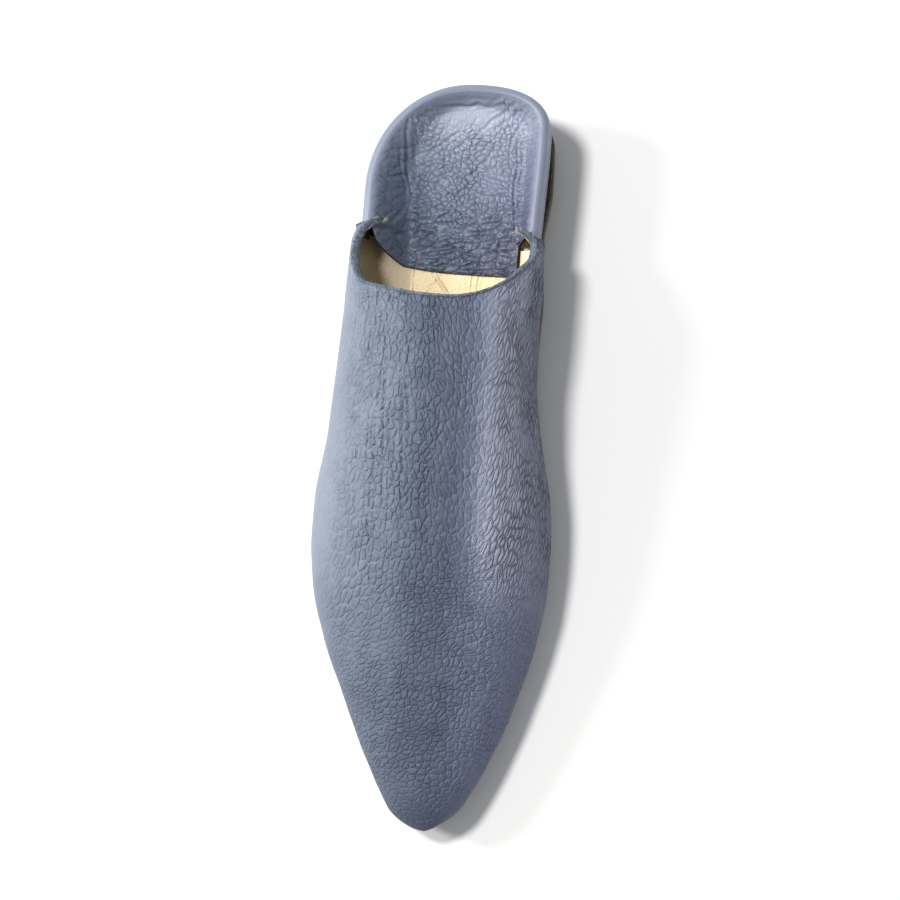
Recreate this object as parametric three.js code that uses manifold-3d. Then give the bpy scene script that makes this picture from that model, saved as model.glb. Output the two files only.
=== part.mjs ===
// Babouche slipper, right shoe: a soft leather slipper with a long pointed vamp, a low stacked heel and a
// heel back that is folded down flat inside. Millimetres, +Z up, toe towards -Y, medial side towards +X.
// The origin is on the floor, in the middle of the shoe's box.
//
// Three words place every point. "at" is the distance forward from the back of the heel. "round" goes over
// the vamp from the lateral sole edge (-1) by the ridge (0) to the medial sole edge (1). "turn" goes round
// the heel from its lateral front end (-1) by the back (0) to its medial front end (1).
import * as THREE from "three";
import { mergeVertices } from "three/addons/utils/BufferGeometryUtils.js";
import Module from "manifold-3d";

const wasm = await Module();
wasm.setup();

// ---------------------------------------------------------------- driving dimensions
const LENGTH = 280; // over all, heel back to toe tip
const AXIS_X = 5.6; // the line from heel back to toe tip, placed so that the shoe's box is centred on x = 0
const GAP = 0.3; // between pieces that touch
const WALL = 2.6; // the upper's leather with its lining
const FLAP = 2.2; // the leather folded down inside, without a lining
const OUTSOLE = 4;
const INSOLE = 2;
const HEEL_HEIGHT = 10; // heel block and top piece together
const TOP_PIECE = 3;
const HEEL_FRONT = 58; // the heel's straight front face
const HEEL_TAPER = 1.4; // each side of the heel comes in by this much on its way to the floor
const SOLE_EDGE = 1.2; // the outsole stands this far outside the seam where the upper meets it
const SOLE_TUCK = 3; // and that seam lies this far back from the vamp's tip at the toe
const HEEL_TUCK = 2.2; // and this far inside the heel back's widest outline
const RIM = 18; // height of the heel back's folded rim above that seam
const VAMP_BACK = { lateral: 51, medial: 57 }; // where the vamp's back edges lap over the heel back
const THROAT = 90; // where the middle of the throat lies
const HEEL_BACK_FRONT = 64; // the heel back runs on under the vamp up to here

// Ends close in plan along a curve of this length and fullness, where 2 is an ellipse.
const HEEL_END = { lateral: { length: 42, power: 2.05 }, medial: { length: 18, power: 2.35 } };
const TOE_END = { length: 8, power: 2 };
const TIP_DROP = { length: 15, power: 2 }; // the same in side view: the ridge comes down to the toe tip

// The seam between upper and sole in plan: its distance from the axis on each side, how far the sole's
// edge stands outside it on the medial side, and the height of the sole's underside.
const SOLE = [
  { at: 0, lateral: 36.6, medial: 27.8, ledge: 2, under: HEEL_HEIGHT },
  { at: 36, lateral: 36.6, medial: 27.6, ledge: 3.4, under: HEEL_HEIGHT },
  { at: 58, lateral: 37, medial: 27.2, ledge: 1.4, under: HEEL_HEIGHT - 0.2 },
  { at: 80, lateral: 38.2, medial: 28.2, ledge: 1.8, under: 8 },
  { at: 110, lateral: 39.8, medial: 28.4, ledge: 1.5, under: 4.4 },
  { at: 138, lateral: 43.4, medial: 31.6, ledge: 1.6, under: 1.2 },
  { at: 160, lateral: 46.8, medial: 34.8, ledge: 1.4, under: 0 },
  { at: 190, lateral: 45.8, medial: 35.8, ledge: 1.2, under: 0 },
  { at: 206, lateral: 41.8, medial: 33.6, ledge: 1.2, under: 0 },
  { at: 232, lateral: 31.4, medial: 27, ledge: 1.2, under: 1 },
  { at: 252, lateral: 22.4, medial: 19.8, ledge: 1.2, under: 2.8 },
  { at: 268, lateral: 14.2, medial: 12.2, ledge: 1.2, under: 4.8 },
  { at: 280, lateral: 7, medial: 4.4, ledge: 1.2, under: 6.5 },
];

// The vamp's outer face: its widest half widths, how far above the sole seam they lie, the height of its
// ridge, and how full the section is up its side and across its top (0.55 is an ellipse).
const VAMP = [
  { at: 48, lateral: 39.8, medial: 30.6, widest: 10, ridge: 35.5, side: 0.76, top: 0.88 },
  { at: 56, lateral: 40.8, medial: 30.6, widest: 11, ridge: 38, side: 0.76, top: 0.86 },
  { at: 64, lateral: 42.6, medial: 30.7, widest: 12, ridge: 43, side: 0.76, top: 0.82 },
  { at: 76, lateral: 43, medial: 30.8, widest: 12, ridge: 49.5, side: 0.74, top: 0.75 },
  { at: 90, lateral: 43.6, medial: 30.5, widest: 12, ridge: 54, side: 0.66, top: 0.66 },
  { at: 110, lateral: 44.7, medial: 30.6, widest: 12, ridge: 53.4, side: 0.61, top: 0.6 },
  { at: 135, lateral: 47, medial: 33.8, widest: 11, ridge: 50, side: 0.58, top: 0.56 },
  { at: 160, lateral: 50.6, medial: 38.7, widest: 10, ridge: 45.4, side: 0.56, top: 0.54 },
  { at: 175, lateral: 50.8, medial: 39.6, widest: 9.5, ridge: 42.4, side: 0.56, top: 0.54 },
  { at: 190, lateral: 49.1, medial: 39.1, widest: 9, ridge: 39, side: 0.56, top: 0.54 },
  { at: 210, lateral: 43.5, medial: 36, widest: 8, ridge: 34.5, side: 0.56, top: 0.54 },
  { at: 232, lateral: 34.3, medial: 30, widest: 7, ridge: 29.5, side: 0.56, top: 0.54 },
  { at: 252, lateral: 25.2, medial: 22.6, widest: 6, ridge: 25, side: 0.56, top: 0.54 },
  { at: 268, lateral: 16.6, medial: 14.5, widest: 5, ridge: 21.6, side: 0.56, top: 0.54 },
  { at: 280, lateral: 8.7, medial: 5.8, widest: 4, ridge: 19, side: 0.56, top: 0.54 },
];

// The vamp's top edge: how far round the section it stands at each station, from the back corners, which
// curl in over the heel's rim, to the middle of the throat.
const THROAT_EDGE = [
  { at: 51, lateral: 0.33, medial: 0.3 },
  { at: 55, lateral: 0.385, medial: 0.3 },
  { at: 59, lateral: 0.45, medial: 0.36 },
  { at: 63, lateral: 0.5, medial: 0.53 },
  { at: 68, lateral: 0.575, medial: 0.55 },
  { at: 76, lateral: 0.52, medial: 0.425 },
  { at: 82, lateral: 0.44, medial: 0.32 },
  { at: 87, lateral: 0.24, medial: 0.19 },
  { at: 89.4, lateral: 0.09, medial: 0.075 },
  { at: 90, lateral: 0, medial: 0 },
];

// The heel back's outer face in plan: its half widths at the widest height.
const HEEL_BACK = [
  { at: 0, lateral: 38.8, medial: 30.2 },
  { at: 22, lateral: 38.8, medial: 30.2 },
  { at: 60, lateral: 38.9, medial: 28.8 },
];

// The crease in plan where the folded leather turns from the wall onto the seat.
const CREASE = [
  { at: 0, lateral: 18.6, medial: 18 },
  { at: 20, lateral: 21.6, medial: 19.2 },
  { at: 38, lateral: 23.7, medial: 18.9 },
  { at: 64, lateral: 24, medial: 20 },
];
const CREASE_INSET = 5.8; // its least distance from the heel back's outer face
const SEAT_FRONT = 71; // the folded leather's front edge
const FOLD_FRONT = 61; // the front end of the wall beside it
const SEAT_RISE = 6; // the seat climbs by this much to the back of the heel
const SEAT_RISE_LENGTH = 28;

// The heel back's section, a row per fold line: how far it lies inside the widest outline and its height
// above the sole seam, for the outer face from the seam up over the rim, and for the inner face under it.
const HEEL_WALL = [
  { out: HEEL_TUCK, outUp: 0, in: HEEL_TUCK + WALL, inUp: 0 },
  { out: 0.8, outUp: 4, in: 0.8 + WALL, inUp: 4 },
  { out: 0, outUp: 9, in: WALL, inUp: 9 },
  { out: 0.2, outUp: RIM - 3.6, in: WALL, inUp: RIM - 5 },
  { out: 1, outUp: RIM - 1.4, in: WALL + 0.2, inUp: RIM - 3.6 },
  { out: 2.6, outUp: RIM, in: WALL + 0.3, inUp: RIM - 3 },
  { out: 4.3, outUp: RIM - 0.9, in: WALL + 0.4, inUp: RIM - 3.1 },
  { out: 5.3, outUp: RIM - 2.8, in: WALL + 0.5, inUp: RIM - 3.6 },
];
const FOLD_TOP = { inset: 5.3, up: RIM - 4 }; // where the wall that is folded down inside takes over

// ---------------------------------------------------------------- reading tables, and curves
// Reads a column at a station, on a cubic through the rows that never overshoots them.
function read(table, column, at) {
  const last = table.length - 1;
  const here = Math.min(Math.max(at, table[0].at), table[last].at);
  let i = 0;
  while (i < last - 1 && here > table[i + 1].at) i++;
  const slope = (k) => {
    const a = table[Math.min(Math.max(k, 0), last - 1)];
    const b = table[Math.min(Math.max(k, 0), last - 1) + 1];
    return (b[column] - a[column]) / (b.at - a.at);
  };
  const tangent = (k) => {
    const before = slope(k - 1);
    const after = slope(k);
    return before * after <= 0 ? 0 : (2 * before * after) / (before + after);
  };
  const step = table[i + 1].at - table[i].at;
  const t = (here - table[i].at) / step;
  return (
    table[i][column] * (1 + 2 * t) * (1 - t) ** 2 +
    table[i + 1][column] * t * t * (3 - 2 * t) +
    step * t * (1 - t) * (tangent(i) * (1 - t) - tangent(i + 1) * t)
  );
}

const mix = (a, b, t) => a + (b - a) * t;
const bend = (a, b, c, t) => mix(mix(a, b, t), mix(b, c, t), t);
const cubic = (a, b, c, d, t) => mix(bend(a, b, c, t), bend(b, c, d, t), t);

// The height of the seam where the upper stands on the outsole.
const seam = (at) => read(SOLE, "under", at) + OUTSOLE + GAP;

// The share of a half width that is left at a distance from the end it closes at.
function closing(distance, { length, power }) {
  const left = 1 - THREE.MathUtils.clamp(distance / length, 0, 1);
  return (1 - left ** power) ** (1 / power);
}

const point = (x, at, z) => new THREE.Vector3(AXIS_X + x, LENGTH / 2 - at, z);

// Evenly spaced values from one end to the other, or closer together at the far end if it is rounded.
function spread(from, to, count, rounded = 0) {
  return Array.from({ length: count + 1 }, (_, i) => {
    const t = i / count;
    return mix(from, to, mix(t, Math.sin((t * Math.PI) / 2), rounded));
  });
}

// ---------------------------------------------------------------- outlines in plan
// Stations from the back of the heel, close together in its round, then evenly spaced up to a front end.
function heelStations(back, front, around, along) {
  const round = HEEL_END.lateral.length - back;
  const turn = spread(0, 1, around).map((t) => back + round * (1 - Math.cos((t * Math.PI) / 2)));
  return [...turn, ...spread(back + round, front, along).slice(1)];
}

// A row across the shoe, inset from a table's outline, whose heel end lies inset from the heel's back.
function across(table, at, inset, back = 0) {
  const half = (side) => {
    const { length, power } = HEEL_END[side];
    const whole = Math.max(read(table, side, at) - inset, 0.5);
    return whole * closing(at - back - inset, { length: length - inset, power });
  };
  return { at, lateral: half("lateral"), medial: half("medial") };
}

// ---------------------------------------------------------------- solids from rows of points
// Turns triangle corners into a manifold-3d solid, facing out whichever way they were wound.
function solid(corners) {
  const geometry = mergeVertices(new THREE.BufferGeometry().setFromPoints(corners), 1e-3);
  const index = Array.from(geometry.index.array);
  const kept = [];
  for (let i = 0; i < index.length; i += 3) {
    const [a, b, c] = index.slice(i, i + 3);
    if (a !== b && b !== c && a !== c) kept.push(a, b, c);
  }
  const build = (triVerts) => {
    const vertProperties = geometry.attributes.position.array;
    return new wasm.Manifold(
      new wasm.Mesh({ numProp: 3, vertProperties, triVerts: Uint32Array.from(triVerts) }),
    );
  };
  const made = build(kept);
  return made.volume() > 0 ? made : build(kept.reverse());
}

// A sheet closed into a solid from its two faces, which are grids of points with the same rows. A half
// sheet is left open where it meets its mirror half: from one row on at the rows' ends, and at the last row.
function sheetCorners(outer, inner, meetsFrom = Infinity) {
  const corners = [];
  const quad = (a, b, c, d) => corners.push(a, b, c, a, c, d);
  const rows = outer.length - 1;
  const last = outer[0].length - 1;
  for (let i = 0; i < rows; i++) {
    for (let j = 0; j < last; j++) {
      quad(outer[i][j], outer[i + 1][j], outer[i + 1][j + 1], outer[i][j + 1]);
      quad(inner[i][j], inner[i][j + 1], inner[i + 1][j + 1], inner[i + 1][j]);
    }
    quad(outer[i][0], inner[i][0], inner[i + 1][0], outer[i + 1][0]);
    if (i < meetsFrom) quad(outer[i][last], outer[i + 1][last], inner[i + 1][last], inner[i][last]);
  }
  for (let j = 0; j < last; j++) {
    quad(outer[0][j], outer[0][j + 1], inner[0][j + 1], inner[0][j]);
    if (meetsFrom > rows) quad(outer[rows][j], inner[rows][j], inner[rows][j + 1], outer[rows][j + 1]);
  }
  return corners;
}

// A plate over an outline, between two heights that may change along the shoe.
function plate(rows, under, over, columns = 6) {
  const face = (height) =>
    rows.map(({ at, lateral, medial }) =>
      spread(-1, 1, columns).map((t) => point(t < 0 ? t * lateral : t * medial, at, height(at))),
    );
  return solid(sheetCorners(face(over), face(under)));
}

// ---------------------------------------------------------------- the upper
const WIDEST = 0.8; // where the vamp's widest line lies, on the way round

// A point of the vamp, on a face that lies inset inside the outer one.
function vampPoint(at, round, inset) {
  const side = round < 0 ? "lateral" : "medial";
  const length = LENGTH - inset;
  const tip = closing(length - at, TOE_END);
  const base = seam(at);
  const half = Math.max(read(VAMP, side, at) - inset, 1) * tip;
  const foot = Math.max(read(SOLE, side, at) - inset, 0.8) * tip;
  const widest = base + read(VAMP, "widest", at);
  const drop = closing(length - at, TIP_DROP);
  const ridge = mix(widest, read(VAMP, "ridge", at) - inset, drop);
  const above = 1 - Math.abs(round) / WIDEST;
  const sign = Math.sign(round);
  if (above < 0) {
    const down = (-above * WIDEST) / (1 - WIDEST);
    const back = SOLE_TUCK * down * down * (1 - drop);
    return point(sign * mix(half, foot, down * down), at - back, mix(widest, base, down));
  }
  const x = cubic(half, half, half * read(VAMP, "top", at), 0, above);
  const z = cubic(widest, mix(widest, ridge, read(VAMP, "side", at)), ridge, ridge, above);
  return point(sign * x, at, z);
}

// The vamp is built in two halves that part at the throat and meet on the ridge ahead of it.
const FLANK = 14; // rows beside the throat
function vamp() {
  const ahead = spread(THROAT, LENGTH - TIP_DROP.length, 17).slice(1);
  const half = (inset, sign, side) => {
    const behind = spread(VAMP_BACK[side], THROAT, FLANK, 0.6);
    const tip = spread(LENGTH - TIP_DROP.length, LENGTH - inset, 8, 1).slice(1);
    return [...behind, ...ahead, ...tip].map((at) => {
      const edge = at < THROAT ? read(THROAT_EDGE, side, at) : 0;
      return spread(1, edge, 11).map((round) => vampPoint(at, sign * round, inset));
    });
  };
  const lateral = sheetCorners(half(0, -1, "lateral"), half(WALL, -1, "lateral"), FLANK);
  const medial = sheetCorners(half(WALL, 1, "medial"), half(0, 1, "medial"), FLANK);
  return solid([...lateral, ...medial]);
}

// A line round the heel at a height above the seam, from its lateral front end by the back to its medial.
function roundHeel(rows, up) {
  const lateral = rows.map((row) => point(-row.lateral, row.at, seam(row.at) + up(row.at)));
  const medial = rows.map((row) => point(row.medial, row.at, seam(row.at) + up(row.at)));
  return [...lateral.reverse(), ...medial.slice(1)];
}

function heelBack() {
  const line = (inset, up) => {
    const stations = heelStations(inset, HEEL_BACK_FRONT, 13, 3);
    return roundHeel(stations.map((at) => across(HEEL_BACK, at, inset)), () => up);
  };
  const outer = HEEL_WALL.map((fold) => line(fold.out, fold.outUp));
  const inner = HEEL_WALL.map((fold) => line(fold.in, fold.inUp));
  return solid(sheetCorners(outer, inner));
}

// The crease's outline, moved out by a distance: it keeps clear of the heel back's wall.
function creaseRows(out, front) {
  const inset = CREASE_INSET - out;
  return heelStations(inset, front, 13, 4).map((at) => {
    const wall = across(HEEL_BACK, at, inset);
    const lateral = Math.min(wall.lateral, read(CREASE, "lateral", at) + out);
    const medial = Math.min(wall.medial, read(CREASE, "medial", at) + out);
    return { at, lateral, medial };
  });
}

// The leather folded down inside the heel: a wall from under the rim to the crease, and a seat.
function heelFlap() {
  const rise = (at) => {
    const t = THREE.MathUtils.smoothstep(at, CREASE_INSET, CREASE_INSET + SEAT_RISE_LENGTH);
    return INSOLE + GAP + SEAT_RISE * (1 - t);
  };
  const wall = (out, up) => {
    const stations = heelStations(FOLD_TOP.inset - out, FOLD_FRONT, 13, 4);
    const top = roundHeel(stations.map((at) => across(HEEL_BACK, at, FOLD_TOP.inset - out)), () => FOLD_TOP.up);
    const foot = roundHeel(creaseRows(out, FOLD_FRONT), up);
    return spread(0, 1, 4).map((t) => top.map((p, i) => p.clone().lerp(foot[i], t)));
  };
  const sides = solid(sheetCorners(wall(FLAP, rise), wall(0, (at) => rise(at) + FLAP)));
  const under = (at) => seam(at) + rise(at);
  const seat = plate(creaseRows(0.8, SEAT_FRONT), under, (at) => under(at) + FLAP);
  return sides.add(seat);
}

// ---------------------------------------------------------------- the sole
// Rows over the whole foot, inset from the sole's seam: from the back of the heel to the toe tip.
function wholeRows(inset, ledge) {
  const from = LENGTH - 20;
  const tip = LENGTH - SOLE_TUCK - inset;
  const stations = [
    ...heelStations(HEEL_TUCK + inset, from, 10, 24),
    ...spread(from, tip, 9, 1).slice(1),
  ];
  return stations.map((at) => {
    const row = across(SOLE, at, inset, HEEL_TUCK);
    const end = closing(tip - at, TOE_END);
    const out = ledge ? soleLedge(at, inset) : 0;
    return { at, lateral: row.lateral * end, medial: (row.medial + out) * end };
  });
}

// How much further the sole's edge stands out on the medial side than on the lateral.
function soleLedge(at, inset) {
  return (read(SOLE, "ledge", at) - SOLE_EDGE) * closing(at - HEEL_TUCK - inset, HEEL_END.medial);
}

function outsole() {
  const under = (at) => read(SOLE, "under", at);
  return plate(wholeRows(-SOLE_EDGE, true), under, (at) => under(at) + OUTSOLE);
}

function insole() {
  return plate(wholeRows(WALL + 0.8, false), seam, (at) => seam(at) + INSOLE);
}

// A slice of the heel between two heights, narrower towards the floor, with a straight front face.
function heelSlice(from, to) {
  const face = (z) => {
    const inset = 0.3 - SOLE_EDGE + HEEL_TAPER * (1 - z / HEEL_HEIGHT);
    return heelStations(HEEL_TUCK + inset, HEEL_FRONT, 10, 2).map((at) => {
      const { lateral, medial } = across(SOLE, at, inset, HEEL_TUCK);
      const outer = medial + soleLedge(at, inset);
      return spread(-1, 1, 4).map((t) => point(t < 0 ? t * lateral : t * outer, at, z));
    });
  };
  return solid(sheetCorners(face(to), face(from)));
}

// ---------------------------------------------------------------- the shoe
const group = new THREE.Group();

function add(name, made, color, roughness) {
  const { numProp, vertProperties, triVerts } = made.getMesh();
  const vertices = new THREE.InterleavedBuffer(vertProperties, numProp);
  const geometry = new THREE.BufferGeometry();
  geometry.setAttribute("position", new THREE.InterleavedBufferAttribute(vertices, 3, 0));
  geometry.setIndex(new THREE.BufferAttribute(triVerts, 1));
  const mesh = new THREE.Mesh(geometry, new THREE.MeshStandardMaterial({ color, roughness }));
  mesh.name = name;
  group.add(mesh);
}

add("upper", vamp().add(heelBack()), 0x7d8799, 0.6);
add("heel_flap", heelFlap(), 0x74809a, 0.5);
add("insole", insole(), 0xe6d8b6, 0.7);
add("outsole", outsole(), 0x6e6548, 0.7);
add("heel_block", heelSlice(TOP_PIECE + GAP, HEEL_HEIGHT - GAP), 0x5f573f, 0.7);
add("heel_top_piece", heelSlice(0, TOP_PIECE), 0x26251f, 0.8);

export default group;
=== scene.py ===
"""Right babouche slipper: pebbled blue-grey leather, a pointed vamp, a heel back folded down flat inside.

Lengths are in millimetres until a mesh is made, and the mesh is in metres in the frame of the CAD model.
"at" is the distance forward from the back of the heel. "x" is the distance from the line between heel back
and toe tip, positive on the medial side. "round" goes over the vamp from the lateral sole edge (-1) by the
ridge (0) to the medial sole edge (1), and "arc" is the distance over the leather from the ridge.
"""

from __future__ import annotations

import logging
from dataclasses import dataclass, field
from enum import Enum

import bmesh
import bpy
import numpy as np
from mathutils import Matrix, Vector

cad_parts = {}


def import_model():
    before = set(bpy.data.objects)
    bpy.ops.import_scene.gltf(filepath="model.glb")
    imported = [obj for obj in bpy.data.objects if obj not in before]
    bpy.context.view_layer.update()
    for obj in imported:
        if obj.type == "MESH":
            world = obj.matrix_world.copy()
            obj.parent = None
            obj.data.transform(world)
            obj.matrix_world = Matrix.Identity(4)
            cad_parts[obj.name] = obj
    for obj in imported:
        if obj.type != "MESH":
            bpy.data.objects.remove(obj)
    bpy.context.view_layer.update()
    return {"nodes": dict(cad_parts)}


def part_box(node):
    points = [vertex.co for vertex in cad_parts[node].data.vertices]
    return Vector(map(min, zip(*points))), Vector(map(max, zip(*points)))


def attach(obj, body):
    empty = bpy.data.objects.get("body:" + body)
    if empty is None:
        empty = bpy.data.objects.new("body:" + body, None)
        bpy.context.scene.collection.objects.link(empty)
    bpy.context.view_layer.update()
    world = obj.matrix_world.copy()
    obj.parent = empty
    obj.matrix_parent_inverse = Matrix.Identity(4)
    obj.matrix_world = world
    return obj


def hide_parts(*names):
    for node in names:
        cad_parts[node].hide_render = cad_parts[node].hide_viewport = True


Array = np.ndarray
Socket = bpy.types.NodeSocket
Material = bpy.types.Material
Piece = bpy.types.Object
log = logging.getLogger("babouche")

MM = 0.001
AXIS_X = 5.6  # where the line between heel back and toe tip lies in the frame, in millimetres


# ---------------------------------------------------------------- curves and fields
def mix(a: Array | float, b: Array | float, t: Array | float) -> Array:
    """Goes straight from a to b as t goes from 0 to 1."""
    return a + (b - a) * t


def smooth(low: float, high: float, value: Array) -> Array:
    """Rises from 0 at low to 1 at high, level at both ends: t squared times (3 - 2t)."""
    t = np.clip((value - low) / (high - low), 0, 1)
    return t * t * (3 - 2 * t)


def bell(value: Array, width: float) -> Array:
    """Falls from 1 at zero to nothing about two widths away: exp(-(value / width) squared)."""
    return np.exp(-((value / width) ** 2))


def cubic(a: Array, b: Array, c: Array, d: Array, t: Array) -> Array:
    """The cubic Bezier curve through a and d with handles b and c."""
    s = 1 - t
    return a * s**3 + 3 * b * t * s**2 + 3 * c * t**2 * s + d * t**3


def interp_rows(x: Array, known: Array, values: Array) -> Array:
    """Reads values at x in each row on its own, by shifting the rows so far apart that one reading does.

    Args:
        x: where to read, a row for each row of known.
        known: rising positions.
        values: the value at each known position.

    Returns:
        The values at x.
    """
    shift = 1e4 * np.arange(len(known))[:, None]
    return np.interp((x + shift).ravel(), (known + shift).ravel(), values.ravel()).reshape(x.shape)


def noise(u: Array, v: Array, seed: int) -> Array:
    """Smooth noise: random values on a unit lattice, blended by smoothstep inside each square.

    Args:
        u: first coordinate, counted in squares.
        v: second coordinate.
        seed: picks the random values.

    Returns:
        A number from -1 to 1 for each place.
    """
    wide, tall = 61, 67
    table = 2 * np.random.default_rng(seed).random((wide, tall)) - 1
    i, j = np.floor(u).astype(int), np.floor(v).astype(int)
    s, t = smooth(0, 1, u - i), smooth(0, 1, v - j)

    def value(di: int, dj: int) -> Array:
        """The lattice value at a corner of the square."""
        return table[(i + di) % wide, (j + dj) % tall]

    return mix(mix(value(0, 0), value(1, 0), s), mix(value(0, 1), value(1, 1), s), t)


def scramble(*numbers: Array) -> Array:
    """A random number from 0 to 1 for whole numbers: the bit shuffle of the Voronoi texture's own spots.

    Args:
        numbers: two or three arrays of whole numbers.

    Returns:
        A number for each place of the arrays.
    """
    with np.errstate(over="ignore"):
        seed = np.uint32((0xDEADBEEF + (len(numbers) << 2) + 13) & 0xFFFFFFFF)
        bits = [np.ascontiguousarray(v, np.float32).view(np.uint32) + seed for v in numbers]
        held = {"a": bits[0], "b": bits[1]}
        held["c"] = bits[2] if len(bits) > 2 else np.full_like(bits[0], seed)
        for turn, name in zip((14, 11, 25, 16, 4, 14, 24), "cabcabc"):
            source = held[{"c": "b", "a": "c", "b": "a"}[name]]
            rolled = (source << np.uint32(turn)) | (source >> np.uint32(32 - turn))
            held[name] = (held[name] ^ source) - rolled
    return held["c"] / (2.0**32 - 1)


def cells(u: Array, v: Array, jitter: float = 0.9) -> tuple[Array, Array, Array]:
    """Splits the plane into cells, one round a random spot in each unit square, as the Voronoi texture does.

    The gap is the distance to the line halfway between the nearest spot and the second nearest:
    (second distance squared - first distance squared) / (2 times the distance between the spots).

    Args:
        u: first coordinate, counted in cells.
        v: second coordinate, counted in cells.
        jitter: how far the spots stray over their squares.

    Returns:
        The gap in cells, 0 on the line between two cells, a random level for each cell, 0 to 1, and a dome
        over each spot: 1 - (distance to the spot / 0.6)^2, not below 0.
    """
    i, j = np.floor(u), np.floor(v)
    first = second = None
    for di in (-1, 0, 1):
        for dj in (-1, 0, 1):
            ci, cj = i + di, j + dj
            spot_u, spot_v = scramble(ci, cj), scramble(ci, cj, np.ones_like(ci))
            su, sv = ci + jitter * spot_u, cj + jitter * spot_v
            found = np.stack([(su - u) ** 2 + (sv - v) ** 2, su, sv, np.mod(7.3 * spot_u + 3.1 * spot_v, 1)])
            if first is None:
                first, second = found, np.full_like(found, 1e6)
                continue
            closer = found[0] < first[0]
            beyond = np.where(closer, first, found)
            first = np.where(closer, found, first)
            second = np.where(beyond[0] < second[0], beyond, second)
    apart = np.hypot(second[1] - first[1], second[2] - first[2])
    return (second[0] - first[0]) / (2 * apart + 1e-9), first[3], np.clip(1 - first[0] / 0.36, 0, 1)


class Table:
    """Columns of numbers at stations along the shoe, read on a cubic that never overshoots its rows."""

    def __init__(self, columns: str, *rows: tuple[float, ...]) -> None:
        """Keeps the rows under the columns' names.

        Args:
            columns: the names, in one string.
            rows: a station and a number for each column.
        """
        data = np.array(rows, float)
        self.at = data[:, 0]
        self.columns = dict(zip(columns.split(), data[:, 1:].T))

    def read(self, column: str, at: Array | float) -> Array:
        """Reads a column on cubic Hermite pieces whose tangents are harmonic means of the slopes beside them.

        Args:
            column: the column's name.
            at: stations, held inside the table's own.

        Returns:
            The column's value at each station.
        """
        known, value = self.at, self.columns[column]
        here = np.clip(np.asarray(at, float), known[0], known[-1])
        slope = np.diff(value) / np.diff(known)
        before, after = np.r_[slope[:1], slope], np.r_[slope, slope[-1:]]
        same = before * after > 0
        tangent = np.where(same, 2 * before * after / np.where(same, before + after, 1), 0)
        i = np.clip(np.searchsorted(known, here) - 1, 0, len(known) - 2)
        step = known[i + 1] - known[i]
        t = (here - known[i]) / step
        level = value[i] * (1 + 2 * t) * (1 - t) ** 2 + value[i + 1] * t * t * (3 - 2 * t)
        return level + step * t * (1 - t) * (tangent[i] * (1 - t) - tangent[i + 1] * t)


@dataclass(frozen=True)
class Ending:
    """How an outline closes: over a length, with a fullness where 2 is an ellipse."""

    length: float
    power: float

    def share(self, distance: Array, inset: Array | float = 0.0) -> Array:
        """The share of a half width left at a distance from the end: (1 - (1 - d/length)^power)^(1/power)."""
        left = 1 - np.clip(distance / (self.length - inset), 0, 1)
        return (1 - left**self.power) ** (1 / self.power)


class Side(Enum):
    """A side of the shoe, with the sign of x on it."""

    LATERAL = -1
    MEDIAL = 1

    @property
    def column(self) -> str:
        """The tables' column for this side."""
        return self.name.lower()


# ---------------------------------------------------------------- meshes
def grid_quads(ids: Array, turned: bool = False) -> Array:
    """The quads between the neighbours of a grid.

    Args:
        ids: the grid's vertex numbers.
        turned: makes the quads face the other way.

    Returns:
        Four vertex numbers for each quad.
    """
    a, b, c, d = ids[:-1, :-1], ids[1:, :-1], ids[1:, 1:], ids[:-1, 1:]
    return np.stack([a, d, c, b] if turned else [a, b, c, d], -1).reshape(-1, 4)


def run_length(line: Array) -> Array:
    """The distance along a line of points to each of its points."""
    return np.r_[0, np.cumsum(np.linalg.norm(np.diff(line, axis=0), axis=1))]


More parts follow.
